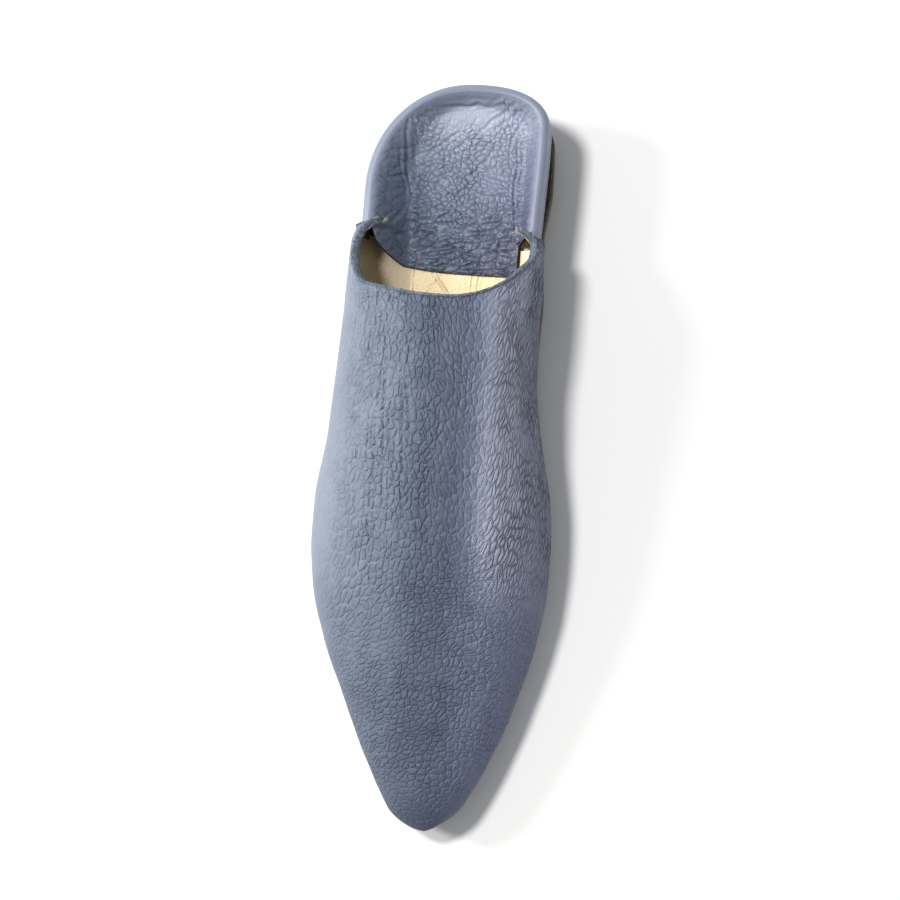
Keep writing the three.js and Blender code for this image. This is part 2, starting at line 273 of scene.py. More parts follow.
@dataclass
class Patch:
    """Vertices, faces and what is painted on the vertices, gathered before a mesh is made."""

    points: list[Array] = field(default_factory=list)
    quads: list[Array] = field(default_factory=list)
    others: list[list[int]] = field(default_factory=list)
    other_material: int = 0
    painted: dict[str, list[Array]] = field(default_factory=dict)
    count: int = 0

    def add_points(self, points: Array, **painted: Array) -> Array:
        """Adds a grid of points and what is painted on them.

        Args:
            points: any grid of points, its last axis x, y and z.
            painted: numbers for each point.

        Returns:
            The new vertices' numbers, in the grid's shape.
        """
        shape = points.shape[:-1]
        size = int(np.prod(shape))
        self.points.append(points.reshape(-1, 3))
        for name in set(self.painted) | set(painted):
            earlier = self.painted.setdefault(name, [np.zeros(self.count)])
            value = painted.get(name, np.zeros(shape))
            earlier.append(np.broadcast_to(value, shape).ravel().astype(float))
        self.count += size
        return np.arange(self.count - size, self.count).reshape(shape)

    def add_grid(self, ids: Array, turned: bool = False) -> None:
        """Adds the quads of a grid of vertex numbers, facing the other way if turned."""
        self.quads.append(grid_quads(ids, turned))

    def add_hidden(self, ids: Array) -> None:
        """Adds the quads of a grid on a piece's underside, in the other material."""
        self.others.extend(grid_quads(ids, turned=True).tolist())

    def make(self, name: str, materials: list[Material], weld: float = 0.0) -> Piece:
        """Makes the mesh and its object, in metres, smooth shaded, at the origin.

        Args:
            name: the piece's name.
            materials: the first is for the quads, and other_material picks the one of the other faces.
            weld: vertices closer than this are merged, in millimetres.

        Returns:
            The object.
        """
        points = np.concatenate(self.points) * MM
        quads = np.concatenate(self.quads)
        mesh = bpy.data.meshes.new(name)
        mesh.from_pydata(points.tolist(), [], quads.tolist() + self.others)
        index = np.zeros(len(mesh.polygons), np.int32)
        index[len(quads):] = self.other_material
        mesh.polygons.foreach_set("material_index", index)
        for key, parts in self.painted.items():
            attribute = mesh.attributes.new(key, "FLOAT", "POINT")
            attribute.data.foreach_set("value", np.concatenate(parts).astype(np.float32))
        if weld:
            merge_close(mesh, weld * MM)
        mesh.polygons.foreach_set("use_smooth", np.ones(len(mesh.polygons), bool))
        for material in materials:
            mesh.materials.append(material)
        mesh.validate()
        mesh.update()
        mesh.set_sharp_from_angle(angle=np.radians(55))
        made = bpy.data.objects.new(name, mesh)
        bpy.context.scene.collection.objects.link(made)
        return made


def merge_close(mesh: bpy.types.Mesh, distance: float) -> None:
    """Merges close vertices and turns all faces outwards.

    Args:
        mesh: the mesh, changed in place.
        distance: vertices closer than this are merged, in metres.
    """
    work = bmesh.new()
    work.from_mesh(mesh)
    bmesh.ops.remove_doubles(work, verts=work.verts, dist=distance)
    bmesh.ops.dissolve_degenerate(work, edges=work.edges, dist=distance * 0.1)
    bmesh.ops.recalc_face_normals(work, faces=work.faces)
    if work.calc_volume(signed=True) < 0:
        bmesh.ops.reverse_faces(work, faces=work.faces)
    work.to_mesh(mesh)
    work.free()


def grid_normals(points: Array, ids: list[Array]) -> Array:
    """Unit normals of vertices: the sum of the cross products of the diagonals of the quads round each.

    Args:
        points: all the vertices.
        ids: grids of vertex numbers, wound so that the normals point out.

    Returns:
        A normal for each vertex.
    """
    total = np.zeros_like(points)
    for grid in ids:
        corners = [grid[:-1, :-1], grid[1:, :-1], grid[1:, 1:], grid[:-1, 1:]]
        a, b, c, d = (points[k.ravel()] for k in corners)
        face = np.cross(c - a, d - b)
        for k in corners:
            for axis in range(3):
                total[:, axis] += np.bincount(k.ravel(), face[:, axis], len(points))
    return total / np.maximum(np.linalg.norm(total, axis=1, keepdims=True), 1e-12)


def face_normals(face: Array) -> Array:
    """The unit normals of one grid of points, in the grid's shape."""
    ids = np.arange(face.shape[0] * face.shape[1]).reshape(face.shape[:2])
    return grid_normals(face.reshape(-1, 3), [ids]).reshape(face.shape)


def stitch_border(patch: Patch, fine: Array, coarse: Array, step: int) -> None:
    """Closes the edge between a fine border and a coarse one with one face for each coarse stretch.

    Args:
        patch: takes the faces.
        fine: vertex numbers along the border, step of them to each coarse one.
        coarse: vertex numbers along the border under it.
        step: fine stretches in a coarse one.
    """
    runs = np.lib.stride_tricks.sliding_window_view(fine, step + 1)[::step]
    faces = np.concatenate([runs[:, ::-1], coarse[:-1, None], coarse[1:, None]], 1)
    patch.others.extend(faces.tolist())


def outline_of(ids: Array) -> Array:
    """The border of a grid of vertex numbers, once round, closed."""
    return np.r_[ids[:, 0], ids[-1, 1:], ids[:-1, -1][::-1], ids[0, :-1][::-1]]


def close_sheet(patch: Patch, face: Array, under: Array, step: int, **painted: Array) -> Array:
    """Adds a sheet with a fine face and a coarse underside, closed along its border.

    Args:
        patch: takes the sheet.
        face: the fine grid of points, facing out when seen with rows down and columns to the right.
        under: the same grid, moved to the underside.
        step: the underside keeps each point whose row and column this divides.
        painted: numbers for each point of the face.

    Returns:
        The face's vertex numbers.
    """
    top = patch.add_points(face, **painted)
    kept = under[::step, ::step]
    bottom = patch.add_points(kept, **{k: v[::step, ::step] for k, v in painted.items()})
    patch.add_grid(top)
    patch.add_hidden(bottom)
    stitch_border(patch, outline_of(top), outline_of(bottom), step)
    return top


def tube(patch: Patch, path: Array, radius: Array, sides: int) -> None:
    """Adds tubes along many paths at once: a ring of points round each path point, square to the path.

    Args:
        patch: takes the tubes.
        path: points of each path, with shape (paths, points, 3).
        radius: the radius at each point of a path.
        sides: corners of a ring.
    """
    along = np.gradient(path, axis=1)
    along /= np.maximum(np.linalg.norm(along, axis=-1, keepdims=True), 1e-12)
    straight = path[:, -1:] - path[:, :1]
    steep = np.abs(straight[..., 2:]) > 0.7 * np.linalg.norm(straight, axis=-1, keepdims=True)
    upright = np.where(steep, [1.0, 0, 0], [0, 0, 1.0])
    across = np.cross(along, upright)
    across /= np.maximum(np.linalg.norm(across, axis=-1, keepdims=True), 1e-9)
    over = np.cross(across, along)
    turn = np.linspace(0, 2 * np.pi, sides, endpoint=False)
    reach = np.broadcast_to(np.asarray(radius, float), path.shape[:2])[..., None, None]
    ring = across[..., None, :] * np.cos(turn)[:, None] + over[..., None, :] * np.sin(turn)[:, None]
    ids = patch.add_points(path[:, :, None, :] + reach * ring)
    ids = np.concatenate([ids, ids[:, :, :1]], 2)
    a, b, c, d = ids[:, :-1, :-1], ids[:, 1:, :-1], ids[:, 1:, 1:], ids[:, :-1, 1:]
    patch.quads.append(np.stack([a, b, c, d], -1).reshape(-1, 4))
    patch.others.extend(ids[:, 0, :-1].tolist())
    patch.others.extend(ids[:, -1, -2::-1].tolist())


# ---------------------------------------------------------------- the form of the shoe
@dataclass(frozen=True)
class Last:
    """The form that every piece follows: the same sections and outlines as the CAD model's."""

    length: float
    axis_x: float
    outsole: float = 4.0
    gap: float = 0.3
    wall: float = 2.6
    heel_height: float = 10.0
    heel_front: float = 58.0
    sole_edge: float = 1.2
    sole_tuck: float = 3.0
    heel_tuck: float = 2.2
    widest: float = 0.8
    toe_end: Ending = Ending(8.0, 2.0)
    tip_drop: Ending = Ending(15.0, 2.0)
    heel_end: dict[Side, Ending] = field(
        default_factory=lambda: {Side.LATERAL: Ending(42.0, 2.05), Side.MEDIAL: Ending(18.0, 2.35)}
    )
    sole: Table = Table(
        "lateral medial ledge under",
        (0, 36.6, 27.8, 2, 10), (36, 36.6, 27.6, 3.4, 10), (58, 37, 27.2, 1.4, 9.8),
        (80, 38.2, 28.2, 1.8, 8), (110, 39.8, 28.4, 1.5, 4.4), (138, 43.4, 31.6, 1.6, 1.2),
        (160, 46.8, 34.8, 1.4, 0), (190, 45.8, 35.8, 1.2, 0), (206, 41.8, 33.6, 1.2, 0),
        (232, 31.4, 27, 1.2, 1), (252, 22.4, 19.8, 1.2, 2.8), (268, 14.2, 12.2, 1.2, 4.8),
        (280, 7, 4.4, 1.2, 6.5),
    )
    vamp: Table = Table(
        "lateral medial widest ridge side top",
        (48, 39.8, 30.6, 10, 35.5, 0.76, 0.88), (56, 40.8, 30.6, 11, 38, 0.76, 0.86),
        (64, 42.6, 30.7, 12, 43, 0.76, 0.82), (76, 43, 30.8, 12, 49.5, 0.74, 0.75),
        (90, 43.6, 30.5, 12, 54, 0.66, 0.66), (110, 44.7, 30.6, 12, 53.4, 0.61, 0.6),
        (135, 47, 33.8, 11, 50, 0.58, 0.56), (160, 50.6, 38.7, 10, 45.4, 0.56, 0.54),
        (175, 50.8, 39.6, 9.5, 42.4, 0.56, 0.54), (190, 49.1, 39.1, 9, 39, 0.56, 0.54),
        (210, 43.5, 36, 8, 34.5, 0.56, 0.54), (232, 34.3, 30, 7, 29.5, 0.56, 0.54),
        (252, 25.2, 22.6, 6, 25, 0.56, 0.54), (268, 16.6, 14.5, 5, 21.6, 0.56, 0.54),
        (280, 8.7, 5.8, 4, 19, 0.56, 0.54),
    )
    heel_back: Table = Table(
        "lateral medial", (0, 38.8, 30.2), (22, 38.8, 30.2), (60, 38.9, 28.8)
    )

    def place(self, x: Array, at: Array, z: Array) -> Array:
        """Points of the row frame, in millimetres, from a shoe's own places."""
        return np.stack(np.broadcast_arrays(self.axis_x + x, self.length / 2 - at, z), -1)

    def seam(self, at: Array | float) -> Array:
        """The height of the seam where the upper stands on the outsole."""
        return self.sole.read("under", at) + self.outsole + self.gap

    def vamp_point(self, at: Array, round_: Array, inset: Array | float = 0.0) -> Array:
        """A point of the vamp, on a face that lies inset inside the outer one.

        Above the widest line the section is a cubic Bezier from (half, widest) up to (0, ridge). Under it
        the section goes in to the sole seam with the square of the way down.

        Args:
            at: stations.
            round_: places round the section.
            inset: how far inside the outer face.

        Returns:
            Points in the row frame.
        """
        at, round_ = np.broadcast_arrays(np.asarray(at, float), np.asarray(round_, float))
        lateral = round_ < 0
        end = self.length - inset
        tip, drop = self.toe_end.share(end - at), self.tip_drop.share(end - at)
        base = self.seam(at)

        def half_of(table: Table, least: float) -> Array:
            """A table's half width on the point's own side."""
            width = np.where(lateral, table.read("lateral", at), table.read("medial", at))
            return np.maximum(width - inset, least) * tip

        half, foot = half_of(self.vamp, 1.0), half_of(self.sole, 0.8)
        widest = base + self.vamp.read("widest", at)
        ridge = mix(widest, self.vamp.read("ridge", at) - inset, drop)
        above = 1 - np.abs(round_) / self.widest
        down = np.clip(-above * self.widest / (1 - self.widest), 0, None)
        up = np.clip(above, 0, None)
        shoulder = mix(widest, ridge, self.vamp.read("side", at))
        x = np.where(above < 0, mix(half, foot, down**2),
                     cubic(half, half, half * self.vamp.read("top", at), 0 * half, up))
        z = np.where(above < 0, mix(widest, base, down), cubic(widest, shoulder, ridge, ridge, up))
        back = self.sole_tuck * down**2 * (1 - drop)
        return self.place(np.where(lateral, -x, x), at - back, z)

    def heel_half(
        self, table: Table, side: Side, at: Array, inset: Array | float, back: float = 0.0
    ) -> Array:
        """A half width, inset from a table's outline, that closes round the back of the heel."""
        width = np.maximum(table.read(side.column, at) - inset, 0.5)
        return width * self.heel_end[side].share(at - back - inset, inset)

    def heel_turn(self, inset: Array, front: Array, count: int) -> Array:
        """Stations from the back of the heel to a front end, close together in the heel's round.

        Args:
            inset: distances inside the outline, one a row.
            front: each row's front end.
            count: stations in a row.

        Returns:
            A row of rising stations for each inset.
        """
        inset, front = np.asarray(inset, float)[:, None], np.asarray(front, float)[:, None]
        reach = self.heel_end[Side.LATERAL].length
        t = np.linspace(0, 1, count // 2)[None]
        curl = inset + (reach - inset) * (1 - np.cos(t * np.pi / 2))
        return np.concatenate([curl, mix(reach, front, t[:, 1:])], 1)


def evenly(x: Array, at: Array, count: int) -> tuple[Array, Array, Array]:
    """Spreads each row's points evenly along the row's own curve in plan.

    Args:
        x: half widths, a row for each curve.
        at: stations, the same shape.
        count: how many stretches the new rows have.

    Returns:
        The new half widths and stations, and the curves' lengths.
    """
    step = np.hypot(np.diff(x), np.diff(at))
    arc = np.concatenate([np.zeros((len(x), 1)), np.cumsum(step, 1)], 1)
    want = arc[:, -1:] * np.linspace(0, 1, count + 1)
    return interp_rows(want, arc, x), interp_rows(want, arc, at), arc[:, -1]


# ---------------------------------------------------------------- leather relief
@dataclass(frozen=True)
class Crease:
    """A crease: from (x, at) to (x, at) on the flattened leather, with a bow to its right."""

    x0: float
    at0: float
    x1: float
    at1: float
    bow: float
    depth: float
    width: float = 0.6


@dataclass
class Relief:
    """Heights over flattened leather, with how much of a groove or a pale line each point is. The leathers'
    finishes darken grooves and lighten pale lines: painted shade and painted highlight on the upper, and the
    dark tooled lines on the insole.
    """

    height: Array
    groove: Array
    line: Array

    @staticmethod
    def flat(like: Array) -> Relief:
        """No relief at all."""
        return Relief(np.zeros_like(like), np.zeros_like(like), np.zeros_like(like))

    def press(self, amount: Array | float, gap: Array, reach: float, darken: float = 1.0) -> None:
        """Rounds cells off to their edges: -amount (1 - gap/reach)^2, a sharp valley between domed tops.

        Args:
            amount: how deep the valleys are.
            gap: the distance to the nearest edge, in cells.
            reach: half a valley's width, in cells.
            darken: how much the valleys count as grooves, which the finish paints darker: painted shade.
        """
        share = (1 - np.clip(gap / reach, 0, 1)) ** 2
        self.height -= amount * share
        self.groove = np.maximum(self.groove, darken * np.clip(amount * 4, 0, 1) * share**2)

    def crease(self, x: Array, at: Array, rows: list[Crease], seed: int) -> None:
        """Presses creases: a trough -depth exp(-(d/w)^2) with a soft lip of a third of it on both sides.

        Args:
            x: first coordinate of the leather.
            at: second coordinate.
            rows: the creases.
            seed: picks how they wander.
        """
        for k, row in enumerate(rows):
            dx, da = row.x1 - row.x0, row.at1 - row.at0
            long = np.hypot(dx, da)
            t = np.clip(((x - row.x0) * dx + (at - row.at0) * da) / long**2, 0, 1)
            wander = 0.5 * noise(t * long / 4.0, np.full_like(t, k + 0.5), seed) + 0.9 * noise(
                t * long / 11.0, np.full_like(t, k + 0.5), seed + 1
            )
            off = row.bow * 4 * t * (1 - t) + np.minimum(1.0, long / 22) * wander
            cx, ca = row.x0 + dx * t - da / long * off, row.at0 + da * t + dx / long * off
            far = np.hypot(x - cx, at - ca)
            uneven = 0.75 + 0.25 * noise(t * long / 6, t * 0 + k, seed + 2)
            fade = np.sqrt(np.clip(4 * t * (1 - t), 0, 1)) * uneven
            trough = bell(far, row.width)
            lip = bell(far - 1.7 * row.width, 0.9 * row.width)
            self.height += row.depth * fade * (0.35 * lip - trough)
            # painted shade in the trough (groove) and painted highlight on the lips (line); on the insole the
            # groove is its dark tooled line
            dark = np.clip(row.depth * 1.4, 0, 1) * fade * bell(far, 0.5 * row.width)
            self.groove = np.maximum(self.groove, dark)
            self.line = np.maximum(self.line, 0.5 * np.clip(row.depth * 2, 0, 1) * fade * lip)


def creases(*rows: tuple[float, ...]) -> list[Crease]:
    """Creases from rows of x0, at0, x1, at1, bow, depth and, where it isn't the usual one, width."""
    return [Crease(*row) for row in rows]


VAMP_CREASES = creases(
    (-30, 88, -31.5, 178, 1.2, 0.3), (-25, 92, -26, 176, -1.4, 0.42, 0.65),
    (-20.5, 91, -20, 168, 1.1, 0.42, 0.65), (-17, 92, -12.5, 182, -0.8, 0.45, 0.7),
    (-12.5, 96, -9.5, 178, 1.2, 0.4, 0.6), (-8, 102, -5, 152, -0.6, 0.26, 0.5),
    (-33.5, 100, -34, 160, 0.5, 0.18, 0.5), (-22.5, 100, -24, 150, 0.8, 0.3, 0.5),
    (-15, 120, -17, 172, 0.6, 0.32, 0.5), (-20, 131, -9.5, 120, 0.6, 0.34),
    (-11, 120, 0, 101, -1.0, 0.26, 0.5), (-30, 121, -20.5, 112, 0.8, 0.3),
    (-25, 142, -17, 133, 0.4, 0.3), (-29, 156, -17, 146, 0.6, 0.32), (-24, 166, -12, 154, -0.6, 0.32),
    (-20, 108, -13, 99, 0.3, 0.26, 0.5), (-33, 172, -14, 163, 1.2, 0.26, 0.5),
)
CENTRE_LINES = creases(
    (8, 94, 21, 114, 1.5, 0.2, 0.4), (9, 118, 21, 133, 1.2, 0.22, 0.4),
    (-6, 118, 12, 106, -2.0, 0.16, 0.4), (0, 138, 14, 125, 1.0, 0.16, 0.4),
    (6, 140, 17, 158, 1.0, 0.16, 0.4), (-4, 160, 12, 146, -1.5, 0.16, 0.4),
    (4, 166, 14, 184, 0.8, 0.14, 0.4), (-2, 108, 5, 120, 0.8, 0.14, 0.4),
)
TOE_CREASES = creases(
    (-32, 196, 4, 192, -3.5, 0.24, 0.6), (-33, 205, 8, 199, -4.0, 0.26, 0.6),
    (-30, 212, 14, 204, -4.0, 0.26, 0.6), (-30, 219, 10, 213, -4.0, 0.26, 0.6),
    (-26, 226, 16, 216, -3.5, 0.28, 0.6), (-24, 232, 10, 227, -3.5, 0.26, 0.6),
    (-22, 238, 14, 230, -3.0, 0.26, 0.6), (-19, 244, 6, 241, -3.0, 0.22, 0.6),
    (-14, 250, 8, 247, -2.5, 0.18, 0.6), (-9, 246, -8, 262, 1.5, 0.14, 0.5),
)


class VampGrain:
    """The vamp's relief over arc and station.

    There are cells between long creases on the lateral side, wide low cells on the ridge whose borders are
    painted pale, a painted highlight, fine fanned ridges on the medial side and smile-shaped ones over the
    toe.
    The tone tables are painted light and shade: brighter on the lateral flank and the medial side, darker on
    the ridge and towards the toe.
    """

    across = Table(
        "slope",
        (-70, 0.16), (-30, 0.1), (0, 0.12), (8, 0.16), (14, 0.36), (20, 0.66), (28, 0.84), (45, 0.92),
        (70, 0.92),
    )
    along = Table("slope", (60, 0.19), (170, 0.22), (205, 0.23), (280, 0.28))
    rows = Table("slope", (50, 0.25), (170, 0.28), (205, 0.45), (280, 0.52))
    bend = Table(
        "slope",
        (-70, 0), (-10, 0), (-2, -0.6), (8, -0.75), (12, 0), (16, 0.9), (30, 1.4), (70, 1.4),
    )
    # painted light and shade across the vamp: bright on the lateral flank and the medial side, dark on the
    # ridge
    painted_light_across = Table(
        "tone",
        (-66, 1.7), (-46, 1.52), (-34, 1.38), (-20, 1.22), (-6, 0.75), (4, 0.62), (12, 1.05), (18, 1.88),
        (26, 1.92), (34, 1.64), (44, 1.42), (60, 1.1),
    )
    # painted shade that deepens towards the toe and its tip
    painted_light_along = Table(
        "tone",
        (50, 1.05), (100, 1.0), (140, 1.03), (170, 1.0), (220, 0.86), (260, 0.77), (280, 0.7),
    )

    @staticmethod
    def summed(table: Table, where: Array) -> Array:
        """The sum of a table's slopes up to each place."""
        known = np.linspace(table.at[0], table.at[-1], 800)
        return np.interp(where, known, np.cumsum(table.read("slope", known)) * (known[1] - known[0]))

    def relief(self, arc: Array, at: Array) -> tuple[Relief, dict[str, Array]]:
        """Builds the relief.

        Args:
            arc: distance over the leather from the ridge.
            at: station.

        Returns:
            The relief at each point, and what the leather's finish reads.
        """
        c = arc + 1.2 * noise(arc / 13, at / 19, 1) + 0.5 * noise(arc / 3.2, at / 4.2, 2)
        a = at + 1.4 * noise(arc / 9, at / 12, 3) + 0.6 * noise(arc / 3.2, at / 3.2, 4)
        c, a = c + 0.22 * noise(arc / 1.5, at / 1.5, 9), a + 0.22 * noise(arc / 1.5, at / 1.5, 10)
        toe, tip = smooth(178, 212, a), smooth(250, 274, a)
        strength = 0.8 + 0.4 * noise(arc / 5, at / 7, 8)
        lateral = smooth(-57, -27, c) * (1 - smooth(-8, 4, c)) * (1 - toe)
        centre = smooth(-12, 3, c) * (1 - smooth(14, 24, c)) * (1 - toe)
        medial = smooth(14, 26, c) * (1 - toe)
        found = Relief.flat(arc)

        u = c * mix(1 / 2.3, 1 / 2.7, toe)
        v = self.summed(self.rows, a) + mix(self.summed(self.bend, c) / 3.3, 0.13 * c, toe)
        net = (lateral + 0.5 * centre + 0.8 * toe * smooth(-56, -30, c) * (1 - 0.6 * tip)) * strength
        pebble, level, _ = cells(u, v)
        found.press(0.17 * net, pebble, 0.5, 0.0)
        found.height += 0.08 * (level - 0.5) * net
        long, level, _ = cells(c / 4.4 + 40, a / 26, 0.95)
        found.press(0.3 * lateral, long, 0.13, 0.35)
        found.height += 0.08 * (level - 0.5) * lateral
        wide, level, _ = cells(0.6 * u, 0.6 * v)
        found.press(0.08 * centre, wide, 0.3, 0.0)
        patchy = 0.1 * centre * smooth(0.1, 0.3, wide) * smooth(0.3, 0.7, level)

        sweep = self.summed(self.across, c) + self.summed(self.along, a)
        stagger = a / 5
        ridge, level, _ = cells(sweep, stagger)
        fan = medial * strength * (1 - tip)
        found.press(0.16 * fan, ridge, 0.5, 0.0)
        found.height += 0.05 * (level - 0.5) * fan
        found.height += 0.3 * noise(arc / 24, at / 30, 5) + 0.14 * noise(arc / 9, at / 10, 6)

        found.crease(arc, at, VAMP_CREASES, 31)
        found.crease(arc, at, TOE_CREASES, 41)
        fine = Relief.flat(arc)
        fine.crease(arc, at, CENTRE_LINES, 51)
        found.height += fine.height * 0.8
        # the centre lines are painted pale: a painted highlight
        found.line = np.maximum(found.line, fine.groove)
        # tone: the painted light and shade of both tables, flattened over the toe, times random darker
        # patches on the ridge
        even = 1 - toe * mix(0.3, 0.75, smooth(0, 14, arc))
        tone = self.painted_light_across.read("tone", arc) ** even * self.painted_light_along.read("tone", at) * (1 - patchy)
        finish = {"across": u, "along": v, "net": net, "wide": centre * strength, "sweep": sweep,
                  "stagger": stagger, "fan": fan, "tone": tone}
        return found, finish


FLAP_CREASES = creases(
    (-14, 8.4, 17, 8.0, -0.9, 0.5, 0.45), (-4, 5.0, 12, 5.4, 0.6, 0.3, 0.5),
    (3, 3.6, 17, 4.4, 0.5, 0.26, 0.5), (22, 5, -2, 22, 2.0, 0.35), (21, 4, 6, 16, -1.5, 0.3),
    (23.5, 9, 14, 24, 2.2, 0.35), (19, 3, 4, 8, 0.8, 0.28), (17.4, 19, 18, 56, 0.6, 0.45, 0.5),
    (20.4, 16, 20.6, 56, -0.5, 0.5, 0.5), (22.8, 10, 21.8, 34, -0.6, 0.3, 0.5),
    (-20, 32, 5, 20, -1.2, 0.34), (-19, 27, -6, 17, -0.8, 0.28), (-10, 42, 9, 21, 1.0, 0.3),
    (-2, 37.5, 18, 40, 1.4, 0.34), (-14, 30, 16, 35, -1.2, 0.24), (-22, 50, -4, 46, 1.5, 0.3),
    (-20, 53, 2, 58, -1.2, 0.34, 0.7), (0, 58, 20, 51, 1.2, 0.34, 0.7),
    (-22, 59.5, 18, 59.5, 1.2, 0.36, 0.7), (-20, 64, -2, 62, 1.0, 0.3, 0.7),
    (-8, 65, 18, 62, -1.2, 0.32, 0.7), (-22, 4.5, -24, 30, 1.5, 0.5, 0.6),
    (-22.5, 12, -20.5, 20, 0.6, 0.4, 0.6), (-24.5, 20, -22, 44, 1.5, 0.5, 0.7),
    (-21.5, 26, -24.5, 52, -0.8, 0.5, 0.7), (-27, 24, -23.5, 40, 0.8, 0.35, 0.6),
    (-30, 56, -24, 44, 0.6, 0.4, 0.7), (-32, 60, -22, 55, 0.8, 0.35, 0.7),
    (-31, 37, -25, 33, 0.5, 0.3, 0.6), (-32, 44, -26, 39, 0.5, 0.3, 0.6),
    (-28, 33, -25, 26, 0.5, 0.3, 0.6),
)


class FlapGrain:
    """The folded leather's relief in plan: pebbles with painted highlights on their tops, smooth patches, and
    wrinkles at the front. Its tone is painted light and shade: pale at the back, darker at the front and on
    the lateral side.
    """

    # painted light and shade along the flap: pale at the back, darker towards the front
    painted_light_along = Table(
        "tone",
        (0, 2.3), (8, 2.1), (14, 2.1), (22, 1.62), (34, 1.26), (46, 1.08), (56, 0.88), (72, 0.72),
    )

    def relief(self, x: Array, at: Array) -> tuple[Relief, dict[str, Array]]:
        """Builds the relief.

        Args:
            x: distance from the axis.
            at: station.

        Returns:
            The relief at each point, and what the leather's finish reads.
        """
        c = x + 0.9 * noise(x / 8, at / 9, 61) + 0.5 * noise(x / 2.7, at / 2.7, 62)
        a = at + 0.9 * noise(x / 9, at / 8, 63) + 0.5 * noise(x / 2.7, at / 2.7, 64)
        still = bell(a - 9, 6) * (1 - smooth(9, 14, np.abs(c + 2)))
        still = np.clip(still + bell(a - 35, 14) * bell(c - 9, 6) * 0.75, 0, 1)
        strength = 0.75 + 0.5 * noise(x / 5, at / 5, 60)
        front = smooth(42, 52, a)
        inner = smooth(-26, -20, c)
        found = Relief.flat(x)
        u, v = (c + 0.3 * a) / 2.4, (a - 0.3 * c) / 1.9
        fading = mix(0.6, 1.0, smooth(8, 22, a))
        net = (1 - still) * (1 - 0.35 * front) * mix(0.5, 1.0, inner) * fading * strength
        pebble, level, dome = cells(u, v)
        found.press(0.1 * net, pebble, 0.3, 0.0)
        found.height += (0.22 + 0.5 * np.clip(level - 0.4, 0, 1)) * dome * net
        # painted highlights on the tops of the higher pebbles
        painted_highlight = 0.9 * smooth(0.5, 0.9, dome) * smooth(0.35, 0.7, level) * net * (1 - front)
        found.line = np.maximum(found.line, painted_highlight)
        wide, _, _ = cells((a + 0.3 * c) / 4.6, (c - 0.3 * a) / 11 + 30, 0.95)
        found.press(0.26 * (1 - still) * inner * (1 - front), wide, 0.16, 0.5)
        sweep, stagger = (a + 0.12 * c) / 2.5, c / 6
        fold, level, _ = cells(sweep, stagger)
        found.press(0.15 * front * inner, fold, 0.4, 0.3)
        slanted, _, _ = cells((c + 0.9 * a) / 4.6, (a - 0.9 * c) / 12 + 50)
        found.press(0.34 * (1 - inner) * smooth(14, 24, a), slanted, 0.3, 0.6)
        found.height += 0.3 * noise(x / 12, at / 12, 65)
        found.crease(x, at, FLAP_CREASES, 81)
        # tone: the painted light and shade along the flap, a little darker on the lateral side
        tone = self.painted_light_along.read("tone", at) * mix(0.92, 1.0, smooth(-28, -20, x))
        finish = {"across": u, "along": v, "net": net, "wide": 0 * x, "sweep": sweep, "stagger": stagger,
                  "fan": front * inner * strength, "tone": tone}
        return found, finish


